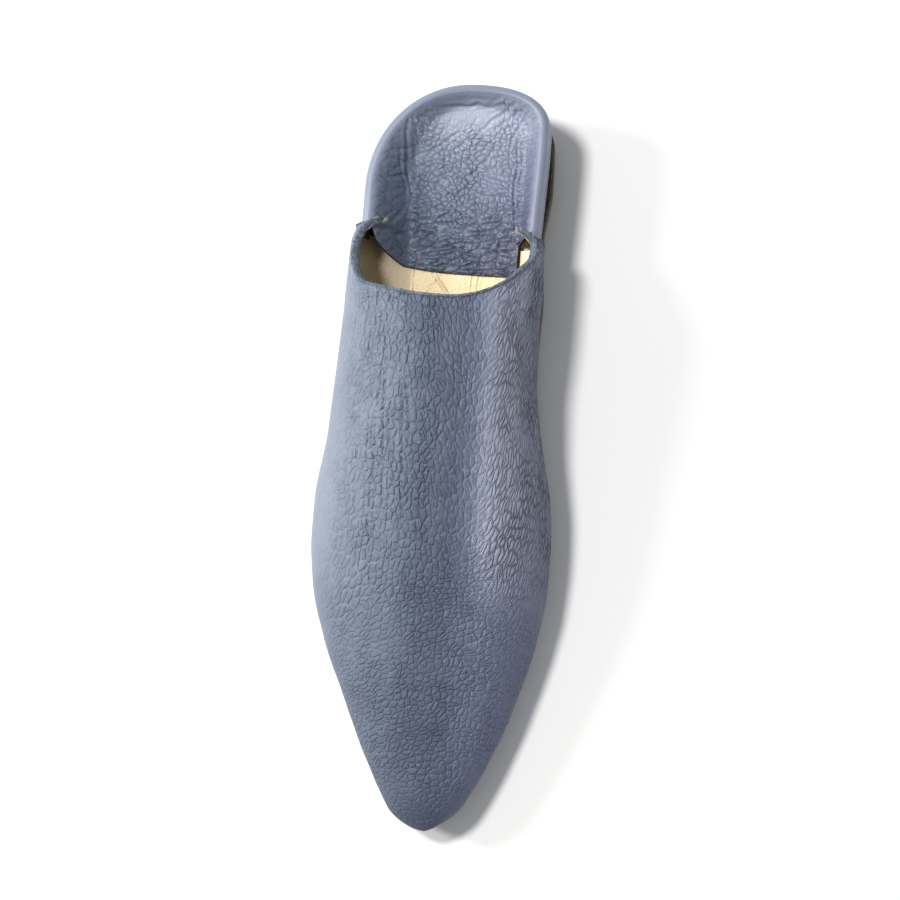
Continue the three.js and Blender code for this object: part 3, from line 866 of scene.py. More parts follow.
# ---------------------------------------------------------------- finishes
class Nodes:
    """A short hand for building a material's nodes."""

    def __init__(self, name: str) -> None:
        """Starts a material with only a Principled shader.

        Args:
            name: the material's name.
        """
        self.material = bpy.data.materials.new(name)
        self.material.use_nodes = True
        self.tree = self.material.node_tree
        self.shader = self.tree.nodes["Principled BSDF"]

    def node(
        self, kind: str, inputs: dict[str | int, object] | None = None, **settings: object
    ) -> bpy.types.Node:
        """Adds a node, sets its properties, and sets or links its inputs.

        Args:
            kind: the node's type.
            inputs: values, or other nodes' outputs, for the named inputs.
            settings: the node's properties.

        Returns:
            The node.
        """
        made = self.tree.nodes.new(kind)
        for key, value in settings.items():
            setattr(made, key, value)
        for key, value in (inputs or {}).items():
            self.put(made.inputs[key], value)
        return made

    def put(self, socket: Socket, value: object) -> None:
        """Links a socket to an output, or sets its value.

        Args:
            socket: the input.
            value: another node's output, or the value itself.
        """
        if isinstance(value, Socket):
            self.tree.links.new(value, socket)
        else:
            socket.default_value = value

    def math(self, operation: str, a: object, b: object = 0.0, clamp: bool = False) -> Socket:
        """A Math node's output."""
        return self.node("ShaderNodeMath", {0: a, 1: b}, operation=operation, use_clamp=clamp).outputs[0]

    def times(self, a: object, b: object) -> Socket:
        """The product of two numbers."""
        return self.math("MULTIPLY", a, b)

    def plus(self, a: object, b: object) -> Socket:
        """The sum of two numbers."""
        return self.math("ADD", a, b)

    def blend(self, share: object, a: object, b: object) -> Socket:
        """Mixes two colours.

        Args:
            share: how much of b there is, 0 to 1.
            a: the first colour.
            b: the second.

        Returns:
            The mixed colour.
        """
        made = self.node("ShaderNodeMix", data_type="RGBA", clamp_factor=True)
        for socket, value in zip((made.inputs[0], made.inputs[6], made.inputs[7]), (share, a, b)):
            self.put(socket, value)
        return made.outputs[2]

    def painted(self, name: str) -> Socket:
        """A number painted on the mesh."""
        return self.node("ShaderNodeAttribute", attribute_name=name).outputs["Fac"]

    def place(self, stretch: tuple[float, float, float] = (1, 1, 1)) -> Socket:
        """Object coordinates, stretched."""
        coordinates = self.node("ShaderNodeTexCoord").outputs["Object"]
        return self.node("ShaderNodeMapping", {"Vector": coordinates, "Scale": stretch}).outputs[0]

    def noise(self, where: object, scale: float, detail: float = 3.0, rough: float = 0.55) -> Socket:
        """A noise texture's value."""
        inputs = {"Vector": where, "Scale": scale, "Detail": detail, "Roughness": rough}
        return self.node("ShaderNodeTexNoise", inputs).outputs[0]

    def cells(self, where: object, scale: float) -> Socket:
        """A Voronoi texture's distance."""
        return self.node("ShaderNodeTexVoronoi", {"Vector": where, "Scale": scale}).outputs["Distance"]

    def surface(self, colour: object, rough: object, gloss: float = 0.5) -> None:
        """Gives the shader its look.

        Args:
            colour: the base colour.
            rough: the roughness.
            gloss: the specular level.
        """
        for name, value in (("Base Color", colour), ("Roughness", rough), ("Specular IOR Level", gloss)):
            self.put(self.shader.inputs[name], value)

    def bumped(self, *layers: tuple[object, float, float]) -> None:
        """Gives the shader a stack of bumps.

        Args:
            layers: for each bump its height, its strength and its depth in metres.
        """
        normal = None
        for height, strength, depth in layers:
            inputs = {"Strength": strength, "Distance": depth, "Height": height}
            if normal is not None:
                inputs["Normal"] = normal
            normal = self.node("ShaderNodeBump", inputs).outputs[0]
        self.put(self.shader.inputs["Normal"], normal)

    def span(self, value: object, low: float, high: float, to_low: float, to_high: float) -> Socket:
        """Maps a range to another.

        Args:
            value: the number to map, held inside the range.
            low: the range's start.
            high: its end.
            to_low: what the start becomes.
            to_high: what the end becomes.

        Returns:
            The mapped number.
        """
        names = ("Value", "From Min", "From Max", "To Min", "To Max")
        inputs = dict(zip(names, (value, low, high, to_low, to_high)))
        return self.node("ShaderNodeMapRange", inputs).outputs[0]


def rgba(red: float, green: float, blue: float) -> tuple[float, float, float, float]:
    """A colour from the 0 to 255 values of a colour picker, made linear: ((v + 0.055) / 1.055) ^ 2.4."""
    values = np.array([red, green, blue]) / 255
    return (*(((values + 0.055) / 1.055) ** 2.4).tolist(), 1.0)


@dataclass(frozen=True)
class UpperLeather:
    """Pebbled, semi-matte blue-grey leather: cooler on the lateral side, more violet on the medial side."""

    name: str = "upper_leather"
    cool: tuple[int, int, int] = (98, 107, 123)
    warm: tuple[int, int, int] = (102, 108, 131)
    deep: tuple[int, int, int] = (48, 54, 68)
    rough: float = 0.52
    gloss: float = 0.42
    depth: float = 0.00062
    shade: float = 0.0
    highlight_share: float = 1.2

    def skin(self, n: Nodes, names: tuple[str, str], scale: float = 1.0) -> Socket:
        """Lays cells over two painted coordinates.

        Args:
            n: the material's nodes.
            names: the coordinates' names.
            scale: how many cells there are in a unit.

        Returns:
            The distance to the nearest line between two cells, counted in cells.
        """
        places = dict(zip("XY", (n.painted(name) for name in names)))
        where = n.node("ShaderNodeCombineXYZ", places).outputs[0]
        inputs = {"Vector": where, "Scale": scale, "Randomness": 0.9}
        made = n.node("ShaderNodeTexVoronoi", inputs, voronoi_dimensions="2D", feature="DISTANCE_TO_EDGE")
        return made.outputs["Distance"]

    def valley(self, n: Nodes, distance: object, reach: float, share: object) -> Socket:
        """The depth of a valley between domed cells: share times (1 - distance/reach)^2."""
        left = n.span(distance, 0.0, reach, 1.0, 0.0)
        return n.times(n.times(left, left), share)

    def make(self) -> Material:
        """Builds the leather from the painted grain, with fine creases, pores and mottling of its own. Its
        painted tone is painted light and shade; valleys and creases are painted darker, a painted shade, and
        cell borders and pale lines lighter, a painted highlight.

        Returns:
            The material.
        """
        n = Nodes(self.name)
        where = n.place()
        mottle = n.noise(where, 90, 4)
        uneven = n.times(n.math("SUBTRACT", n.noise(where, 28, 2), 0.5), 0.7)
        drift = n.plus(n.painted("tint"), uneven)
        net, fan, wide = (n.painted(name) for name in ("net", "fan", "wide"))
        still, swept = self.skin(n, ("across", "along")), self.skin(n, ("sweep", "stagger"))
        small = self.valley(n, self.skin(n, ("across", "along"), 2.3), 0.3, n.times(net, 0.3))
        low = n.plus(self.valley(n, still, 0.3, net), self.valley(n, swept, 0.4, n.times(fan, 2.0)))
        low = n.plus(low, small)
        # dark, between and the painted groove darken valleys and creases towards the deep colour: painted
        # shade
        dark = n.math("MAXIMUM", self.valley(n, still, 0.1, net), self.valley(n, swept, 0.12, fan))
        # pale lines along the cell borders, with the painted pale lines and the wide cells' borders: painted
        # highlight
        painted_lit_lines = self.valley(n, still, 0.16, net)
        light = self.valley(n, self.skin(n, ("across", "along"), 0.6), 0.07, wide)
        light = n.math("MAXIMUM", n.math("MAXIMUM", light, n.painted("line")), n.times(painted_lit_lines, self.highlight_share))
        pores = n.node("ShaderNodeTexVoronoi", {"Vector": where, "Scale": 1100}, feature="DISTANCE_TO_EDGE")
        pore = n.span(pores.outputs["Distance"], 0.0, 0.2, 0.0, 1.0)
        colour = n.blend(n.span(drift, 0, 1, 0, 1), rgba(*self.cool), rgba(*self.warm))
        # tone: painted light and shade multiplied into the colour, less saturated where it brightens
        level = n.painted("tone")
        inputs = {"Color": colour, "Saturation": n.span(level, 0.6, 1.9, 1.26, 0.74), "Value": level}
        tone = n.node("ShaderNodeHueSaturation", inputs).outputs[0]
        colour = n.blend(n.span(mottle, 0.3, 0.75, 0.0, 0.14), tone, rgba(*self.deep))
        between = self.valley(n, swept, 0.3, n.times(fan, 0.6))
        deep = n.plus(n.times(dark, self.shade), between)
        colour = n.blend(deep, colour, rgba(*self.deep))
        colour = n.blend(n.times(n.painted("groove"), 0.4), colour, rgba(*self.deep))
        # the painted highlight colour: the tone made brighter
        painted_highlight = n.node("ShaderNodeHueSaturation", {"Color": tone, "Value": 1.75}).outputs[0]
        colour = n.blend(n.times(light, 0.6), colour, painted_highlight)
        rough = n.plus(self.rough - 0.08, n.times(mottle, 0.16))
        n.surface(colour, n.math("ADD", rough, n.times(dark, 0.2), True), self.gloss)
        n.bumped((n.times(low, -1.0), 1.0, self.depth), (pore, 0.5, 0.00006),
                 (n.noise(where, 1500, 3, 0.6), 0.4, 0.00008))
        return n.material


@dataclass(frozen=True)
class CreamLeather:
    """Smooth cream leather with a fine grain, a little darker and warmer in patches."""

    name: str
    colour: tuple[int, int, int] = (243, 226, 188)
    worn: tuple[int, int, int] = (220, 198, 156)
    rough: float = 0.62
    lateral_shade: float = 1.0

    def make(self) -> Material:
        """Builds the leather: darker in its painted grooves, which are the insole's tooled lines, the cover's
        edge and painted shade in the lining's folds, and darker towards the lateral side, a painted shade.

        Returns:
            The material.
        """
        n = Nodes(self.name)
        where = n.place()
        patch = n.noise(where, 45, 4)
        colour = n.blend(n.span(patch, 0.4, 0.75, 0.0, 0.45), rgba(*self.colour), rgba(*self.worn))
        colour = n.blend(n.times(n.painted("groove"), 0.75), colour, rgba(128, 98, 58))
        # painted shade: darker towards the lateral side
        if self.lateral_shade < 1:
            across = n.node("ShaderNodeSeparateXYZ", {"Vector": where}).outputs["X"]
            value = n.span(across, -0.024, 0.004, self.lateral_shade, 1.0)
            colour = n.node("ShaderNodeHueSaturation", {"Color": colour, "Value": value}).outputs[0]
        n.surface(colour, n.span(patch, 0.3, 0.8, self.rough - 0.06, self.rough + 0.1), 0.3)
        n.bumped((n.cells(where, 1100), 0.9, 0.00028), (n.noise(where, 420, 4), 0.4, 0.00022))
        return n.material


@dataclass(frozen=True)
class RawEdge:
    """A cut leather edge: short fibres, mottled between two colours."""

    name: str
    fibre: tuple[int, int, int]
    pale: tuple[int, int, int]
    rough: float = 0.9

    def make(self) -> Material:
        """Builds the fibres from fine noise in clumps.

        Returns:
            The material.
        """
        n = Nodes(self.name)
        where = n.place()
        fluff = n.noise(where, 1400, 5, 0.7)
        clump = n.noise(where, 420, 3)
        colour = n.blend(n.span(fluff, 0.42, 0.66, 0, 0.8), rgba(*self.fibre), rgba(*self.pale))
        colour = n.blend(n.span(clump, 0.5, 0.75, 0, 0.5), colour, rgba(*[v * 0.6 for v in self.fibre]))
        n.surface(colour, n.span(fluff, 0.3, 0.7, self.rough - 0.08, self.rough + 0.06), 0.15)
        n.bumped((fluff, 0.8, 0.0003), (clump, 0.5, 0.0004))
        return n.material


@dataclass(frozen=True)
class SoleLeather:
    """Waxed sole leather: streaks along the layers, scuffs, darker in its grooves."""

    name: str
    colour: tuple[int, int, int]
    dark: tuple[int, int, int]
    rough: float = 0.5

    def make(self) -> Material:
        """Builds the leather from noise stretched along the edge.

        Returns:
            The material.
        """
        n = Nodes(self.name)
        layer = n.noise(n.place((1, 1, 9)), 150, 4, 0.6)
        speck = n.noise(n.place(), 700, 4)
        colour = n.blend(n.span(layer, 0.35, 0.7, 0, 0.85), rgba(*self.colour), rgba(*self.dark))
        colour = n.blend(n.span(speck, 0.55, 0.75, 0, 0.35), colour, rgba(*[v * 1.25 for v in self.colour]))
        colour = n.blend(n.times(n.painted("groove"), 0.9), colour, rgba(20, 17, 13))
        n.surface(colour, n.span(speck, 0.3, 0.7, self.rough - 0.08, self.rough + 0.18), 0.4)
        n.bumped((speck, 0.35, 0.00015), (layer, 0.3, 0.0003))
        return n.material


@dataclass(frozen=True)
class Rubber:
    """Matte black rubber with a fine moulded grain and dusty scuffs."""

    name: str = "heel_rubber"

    def make(self) -> Material:
        """Builds the rubber.

        Returns:
            The material.
        """
        n = Nodes(self.name)
        where = n.place()
        dust = n.noise(where, 160, 5, 0.65)
        colour = n.blend(n.span(dust, 0.5, 0.8, 0, 0.5), rgba(30, 29, 27), rgba(66, 62, 55))
        n.surface(colour, n.span(dust, 0.3, 0.7, 0.7, 0.9), 0.3)
        n.bumped((n.cells(where, 1300), 0.4, 0.0001), (dust, 0.3, 0.0002))
        return n.material


@dataclass(frozen=True)
class Thread:
    """Dark waxed thread, twisted."""

    name: str = "thread"

    def make(self) -> Material:
        """Builds the twist from bands across the thread.

        Returns:
            The material.
        """
        n = Nodes(self.name)
        twist = n.noise(n.place((1, 1, 2)), 1800, 2)
        colour = n.blend(n.span(twist, 0.4, 0.6, 0, 1), rgba(34, 33, 36), rgba(88, 86, 90))
        n.surface(colour, n.span(twist, 0.3, 0.7, 0.45, 0.65))
        n.bumped((twist, 0.6, 0.0002))
        return n.material


class Finishes:
    """Every finish of the shoe, made once."""

    def __init__(self) -> None:
        """Makes the finishes."""
        self.upper = UpperLeather().make()
        self.flap = UpperLeather(
            "folded_leather", (93, 104, 124), (97, 103, 126),
            rough=0.4, gloss=0.55, depth=0.00024, shade=0.12, highlight_share=0.0,
        ).make()
        self.insole = CreamLeather("insole_leather").make()
        # the lining gets painted shade on its lateral side
        self.lining = CreamLeather("lining_leather", (255, 238, 206), (236, 214, 176), lateral_shade=0.42).make()
        self.fringe = RawEdge("lining_fringe", (206, 190, 166), (240, 230, 210)).make()
        self.edge = RawEdge("raw_edge", (78, 91, 106), (146, 156, 168)).make()
        # the flap's underside and cut edges: the leather's flesh made near black, part real colour and part
        # painted shade of the gaps by the flap's edge
        self.flesh_and_shade = RawEdge("dark_edge_and_shade", (36, 28, 22), (70, 56, 42), 0.85).make()
        self.inside = RawEdge("leather_inside", (92, 78, 60), (136, 118, 92), 0.85).make()
        self.sole = SoleLeather("sole_leather", (98, 91, 68), (58, 52, 38)).make()
        self.lifts = SoleLeather("heel_leather", (92, 82, 60), (50, 44, 32)).make()
        self.rubber = Rubber().make()
        self.thread = Thread().make()


def finish_piece(piece: Piece, slot: str, *stands_for: str) -> Piece:
    """Lets a piece ride on the shoe, hides the CAD nodes it stands for, and logs its triangles.

    Args:
        piece: the piece.
        slot: not used.
        stands_for: the CAD nodes it replaces.

    Returns:
        The piece.
    """
    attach(piece, "root")
    if stands_for:
        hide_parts(*stands_for)
    mesh = piece.data
    mesh.calc_loop_triangles()
    log.info("%s: %d triangles", piece.name, len(mesh.loop_triangles))
    return piece


# ---------------------------------------------------------------- the vamp
@dataclass
class Vamp:
    """The long pointed front of the upper, with its lining and its raw cut edge."""

    last: Last
    back: dict[Side, float] = field(default_factory=lambda: {Side.LATERAL: 55.4, Side.MEDIAL: 58.5})
    throat: float = 90.0
    leather: float = 2.1
    lining: float = 0.5
    rows_behind: int = 102
    rows_ahead: int = 282
    rows_tip: int = 30
    columns: dict[Side, int] = field(default_factory=lambda: {Side.LATERAL: 126, Side.MEDIAL: 96})
    dense: tuple[float, float] = (0.78, 0.62)
    slant: dict[Side, float] = field(default_factory=lambda: {Side.LATERAL: 1.8, Side.MEDIAL: 3.0})
    step: int = 6
    edge: Table = Table(
        "lateral medial",
        (55, 0.33, 0.33), (56.4, 0.42, 0.33), (58.5, 0.48, 0.34), (61.5, 0.52, 0.48), (64, 0.54, 0.55),
        (68, 0.575, 0.56), (76, 0.52, 0.425), (82, 0.44, 0.32), (87, 0.24, 0.19), (89.4, 0.09, 0.075),
        (90, 0, 0),
    )

    def stations(self, side: Side, thin: int = 1, inset: float = 0.0) -> Array:
        """Stations from a back corner to the toe tip, close together at the throat's middle and at the tip.

        Behind the throat they lie at throat - reach times u squared, so that they cut the edge evenly.

        Args:
            side: which side of the shoe.
            thin: keeps one station in this many.
            inset: how far inside the outer face the tip lies.

        Returns:
            Rising stations.
        """
        u = np.linspace(1, 0, self.rows_behind // thin + 1)
        behind = self.throat - (self.throat - self.back[side]) * u**2
        tip = self.last.length - self.last.tip_drop.length
        ahead = np.linspace(self.throat, tip, self.rows_ahead // thin + 1)[1:]
        turn = np.sin(np.linspace(0, np.pi / 2, self.rows_tip // thin + 1)[1:])
        return np.r_[behind, ahead, mix(tip, self.last.length - inset, turn)]

    def half(self, side: Side) -> tuple[Array, Array, Array]:
        """A half's places, evenly spread over the leather from the throat's edge or the ridge to the sole.

        Args:
            side: which half.

        Returns:
            Stations, places round the section, and arcs from the ridge, as grids.
        """
        at = self.stations(side)
        turn = np.linspace(0, 1, 161)
        section = self.last.vamp_point(at[:, None], side.value * turn[None])
        step = np.linalg.norm(np.diff(section, axis=1), axis=-1)
        arc = np.concatenate([np.zeros((len(at), 1)), np.cumsum(step, 1)], 1)
        first = np.where(at < self.throat, self.edge.read(side.column, at), 0.0)
        wanted = np.broadcast_to(turn, arc.shape)
        start = interp_rows(first[:, None], wanted, arc)
        column = np.linspace(0, 1, self.columns[side] + 1)
        share = np.interp(column, (0, self.dense[0], 1), (0, self.dense[1], 1))
        even = mix(start, arc[:, -1:], share[None])
        turned = side.value * interp_rows(even, arc, wanted)
        return self.slanted(side, at[:, None], share[None], self.slant[side]), turned, side.value * even

    def slanted(self, side: Side, at: Array, share: Array, slant: float) -> Array:
        """Moves the back edge forward under its corner: by the slant times the square of the way back."""
        way = np.clip((self.throat - at) / (self.throat - self.back[side]), 0, 1)
        return at + slant * way**2 * smooth(0, 0.2, share)

    def join(self, lateral: Array, medial: Array, thin: int) -> tuple[Array, Array]:
        """Lets both halves share their vertices on the ridge ahead of the throat.

        Args:
            lateral: the lateral half's vertex numbers, its columns from the ridge outwards.
            medial: the medial half's.
            thin: how many rows of the fine mesh lie between two of these.

        Returns:
            The lateral half turned to run from the sole edge inwards, and the medial half.
        """
        medial = medial.copy()
        medial[self.rows_behind // thin:, 0] = lateral[self.rows_behind // thin:, 0]
        return lateral[:, ::-1], medial

    def border(self, lateral: Array, medial: Array, thin: int) -> Array:
        """The whole border, once round: up the lateral back edge, round the throat, down the medial back edge
        and back along the sole by the toe.

        Args:
            lateral: the lateral half's vertex numbers, from the sole edge inwards.
            medial: the medial half's, from the ridge outwards.
            thin: how many rows of the fine mesh lie between two of these.

        Returns:
            The border's vertex numbers.
        """
        split = self.rows_behind // thin
        throat = np.r_[lateral[0, :-1], lateral[:split, -1], medial[split::-1, 0], medial[0, 1:]]
        foot = np.r_[medial[1:, -1], medial[-1, -2::-1], lateral[-1, -2::-1], lateral[-2:0:-1, 0]]
        return np.r_[throat, foot]

    def build(self, finishes: Finishes) -> None:
        """Makes the leather, its lining and its raw edge.

        Args:
            finishes: the shoe's finishes.
        """
        patch = Patch(other_material=1)
        halves = {side: self.half(side) for side in Side}
        grain = VampGrain()
        ids, under = {}, {}
        for side, (at, turn, arc) in halves.items():
            found, finish = grain.relief(arc, at)
            calm = 1 - smooth(272, 280, at)
            from_edge = np.abs(arc - arc[:, :1]) + 30 * smooth(self.throat, self.throat + 3, at)
            near_edge = 1 - smooth(0, 2.5, from_edge)
            ids[side] = patch.add_points(
                self.last.vamp_point(at, turn),
                height=found.height * calm * (1 - 0.6 * near_edge),
                groove=found.groove,
                line=found.line,
                tint=smooth(-12, 24, arc),
                **finish,
            )
        lateral, medial = self.join(ids[Side.LATERAL], ids[Side.MEDIAL], 1)
        patch.add_grid(lateral)
        patch.add_grid(medial)
        points = np.concatenate(patch.points)
        normals = grid_normals(points, [lateral, medial])
        probe, inside = lateral[200, 50], [0, 0, 20]
        outward = np.sign(np.sum(normals[probe] * (points[probe] - inside)))
        height = np.concatenate(patch.painted.pop("height"))
        patch.points = [points + outward * normals * height[:, None]]
        thin = self.step
        for side, (at, turn, _) in halves.items():
            at, turn = at[::thin, ::thin], turn[::thin, ::thin]
            inner = self.last.vamp_point(np.minimum(at, self.last.length - self.leather), turn, self.leather)
            under[side] = patch.add_points(inner)
        low_lateral, low_medial = self.join(under[Side.LATERAL], under[Side.MEDIAL], thin)
        patch.add_hidden(low_lateral)
        patch.add_hidden(low_medial)
        fine = self.border(lateral, medial, 1)
        coarse = self.border(low_lateral, low_medial, thin)
        stitch_border(patch, np.r_[fine, fine[:1]], np.r_[coarse, coarse[:1]], thin)
        leather = patch.make("vamp_leather", [finishes.upper, finishes.edge], weld=0.001)
        finish_piece(leather, "upper_leather", "upper")
        self.build_edge(finishes, halves)
        self.build_lining(finishes)

    def build_edge(self, finishes: Finishes, halves: dict[Side, tuple[Array, Array, Array]]) -> None:
        """Makes the raw cut edge: a flat, fuzzy band carried along the back edges and the throat.

        Args:
            finishes: the shoe's finishes.
            halves: both halves' places, as half() gives them.
        """

        def along(inset: float) -> Array:
            """The edge's line on another face.

            Args:
                inset: how far inside the outer face it lies.

            Returns:
                Points from the lateral sole corner round the throat to the medial one.
            """
            lines = []
            for side in Side:
                at, turn = (np.r_[grid[0, :0:-1], grid[: self.rows_behind, 0]] for grid in halves[side][:2])
                line = self.last.vamp_point(at, turn, inset)
                lines.append(line if side is Side.LATERAL else line[::-1])
            middle = self.last.vamp_point(np.array([self.throat]), np.array([0.0]), inset)
            return np.concatenate([lines[0], middle, lines[1]])

        outer, inner = along(-0.15), along(self.leather + 0.1)
        arc = run_length(outer)
        want = np.linspace(0, arc[-1], 560)
        outer = np.stack([np.interp(want, arc, outer[:, k]) for k in range(3)], 1)
        inner = np.stack([np.interp(want, arc, inner[:, k]) for k in range(3)], 1)
        along_it = np.gradient(outer, axis=0)
        along_it /= np.linalg.norm(along_it, axis=1, keepdims=True)
        inward = inner - outer
        depth = np.linalg.norm(inward, axis=1, keepdims=True)
        inward /= depth
        outwards = np.cross(inward, along_it)
        turn = np.linspace(0, 2 * np.pi, 16, endpoint=False)[None]
        wide = np.sign(np.cos(turn)) * np.abs(np.cos(turn)) ** 0.7
        thick = np.sign(np.sin(turn)) * np.abs(np.sin(turn)) ** 0.9
        fuzz = 1 + 0.16 * noise(want[:, None] / 0.8, turn * 1.6, 91)
        fuzz = fuzz + 0.1 * noise(want[:, None] / 0.35, turn * 4, 92)
        middle = (outer + inner)[:, None] / 2
        half = depth[:, None] / 2 + mix(-0.05, 0.3, smooth(20, 30, middle[..., 2:]))
        ring = middle + (half * (wide * fuzz)[..., None]) * inward[:, None] + (
            (0.7 * thick * fuzz)[..., None] * outwards[:, None]
        )
        patch = Patch()
        ids = patch.add_points(ring)
        ids = np.concatenate([ids, ids[:, :1]], 1)
        patch.add_grid(ids)
        patch.others.extend([ids[0, :-1].tolist(), ids[-1, -2::-1].tolist()])
        rng = np.random.default_rng(7)
        count = 900
        where = rng.integers(20, len(want) - 20, count)
        side = rng.uniform(-1, 1, count)
        root = middle[where, 0] + inward[where] * (side * half[where, 0, 0])[:, None]
        aim = outwards[where] * rng.uniform(0.4, 1.0, count)[:, None]
        aim = aim + 0.7 * rng.normal(size=(count, 3)) * 0.5 + inward[where] * (side * 0.5)[:, None]
        reach = rng.uniform(0.35, 0.95, count)[:, None]
        t = np.linspace(0, 1, 4)[None, :, None]
        curl = rng.normal(size=(count, 1, 3)) * 0.25
        root = root + 0.3 * outwards[where]
        hairs = root[:, None] + aim[:, None] * reach[:, None] * t + curl * t**2 * reach[:, None]
        tube(patch, hairs, np.linspace(0.045, 0.012, 4)[None], sides=3)
        finish_piece(patch.make("throat_edge", [finishes.edge]), "raw_edge")
        corners = np.array([arc[self.columns[Side.LATERAL]], arc[-1 - self.columns[Side.MEDIAL]]])
        count = 240
        past = rng.uniform(-1.0, 8.0, count) * np.where(np.arange(count) % 2, -1, 1)
        where = np.searchsorted(want, corners[np.arange(count) % 2] + past)
        root = middle[where, 0] + inward[where] * half[where, 0] - 0.3 * outwards[where]
        aim = inward[where] * rng.uniform(0.1, 0.7, count)[:, None]
        aim = aim + outwards[where] * rng.uniform(0.3, 0.9, count)[:, None]
        aim = aim + 0.35 * rng.normal(size=(count, 3))
        reach = rng.uniform(0.6, 1.7, count)[:, None] * (1 - np.abs(past) / 9)[:, None]
        curl = rng.normal(size=(count, 1, 3)) * 0.4
        hairs = root[:, None] + aim[:, None] * reach[:, None] * t + curl * t**2 * reach[:, None]
        fringe = Patch()
        tube(fringe, hairs, np.linspace(0.16, 0.05, 4)[None], sides=4)
        finish_piece(fringe.make("lining_fringe", [finishes.fringe]), "lining_leather")

    def build_lining(self, finishes: Finishes) -> None:
        """Makes the cream lining: it follows the leather down to its widest line, then rounds in over the
        insole on a cubic Bezier and ends beside the insole cover.

        Args:
            finishes: the shoe's finishes.
        """
        last, thin = self.last, 2
        patch = Patch()
        for side in Side:
            at = self.stations(side, thin, self.leather + self.lining)
            count, bend = 48, 0.6
            first = np.where(at < self.throat, self.edge.read(side.column, at), 0.0) + 0.004
            part = np.linspace(0, 1, count + 1)[None]
            faces = []
            for inset in (self.leather + 0.05, self.leather + self.lining):
                held = self.slanted(side, np.minimum(at, last.length - inset)[:, None], part / 0.8, 3.0)
                turn = mix(first[:, None], last.widest, np.clip(part / bend, 0, 1))
                shell = last.vamp_point(held, side.value * turn, inset)
                down = np.clip((part - bend) / 0.4, 0, 1)
                start = last.vamp_point(held, side.value * np.full_like(held, last.widest), inset)
                tip = last.toe_end.share(last.length - inset - held)
                foot = np.maximum(last.sole.read(side.column, held) - inset - 1, 0.8) * tip * side.value
                low = last.seam(held) + 2.2 + (self.leather + self.lining - inset)
                x0, z0 = start[..., 0] - last.axis_x, start[..., 2]
                x = cubic(x0, x0, foot * 0.86, foot * 0.56, down)
                z = cubic(z0, mix(z0, low, 0.75), low, low, down)
                faces.append(np.where((part > bend)[..., None], last.place(x, held, z), shell))
            order = slice(None) if side is Side.MEDIAL else slice(None, None, -1)
            top, under = faces[1][:, order], faces[0][:, order]
            fold = noise(at[:, None] / 16, part * 26, 95) * smooth(0.62, 0.85, part)[:, order]
            top = top - face_normals(top) * (0.5 * fold)[..., None]
            # painted shade in the lining's folds
            face = patch.add_points(top, groove=0.2 * smooth(0.2, 0.8, fold))
            back = patch.add_points(under)
            patch.add_grid(face, turned=True)
            patch.add_grid(back)
            rim, low = outline_of(face), outline_of(back)
            strip = np.stack([rim, low])
            patch.add_grid(np.concatenate([strip, strip[:, :1]], 1) if rim[0] != rim[-1] else strip)
        finish_piece(patch.make("vamp_lining", [finishes.lining], weld=0.002), "lining_leather")


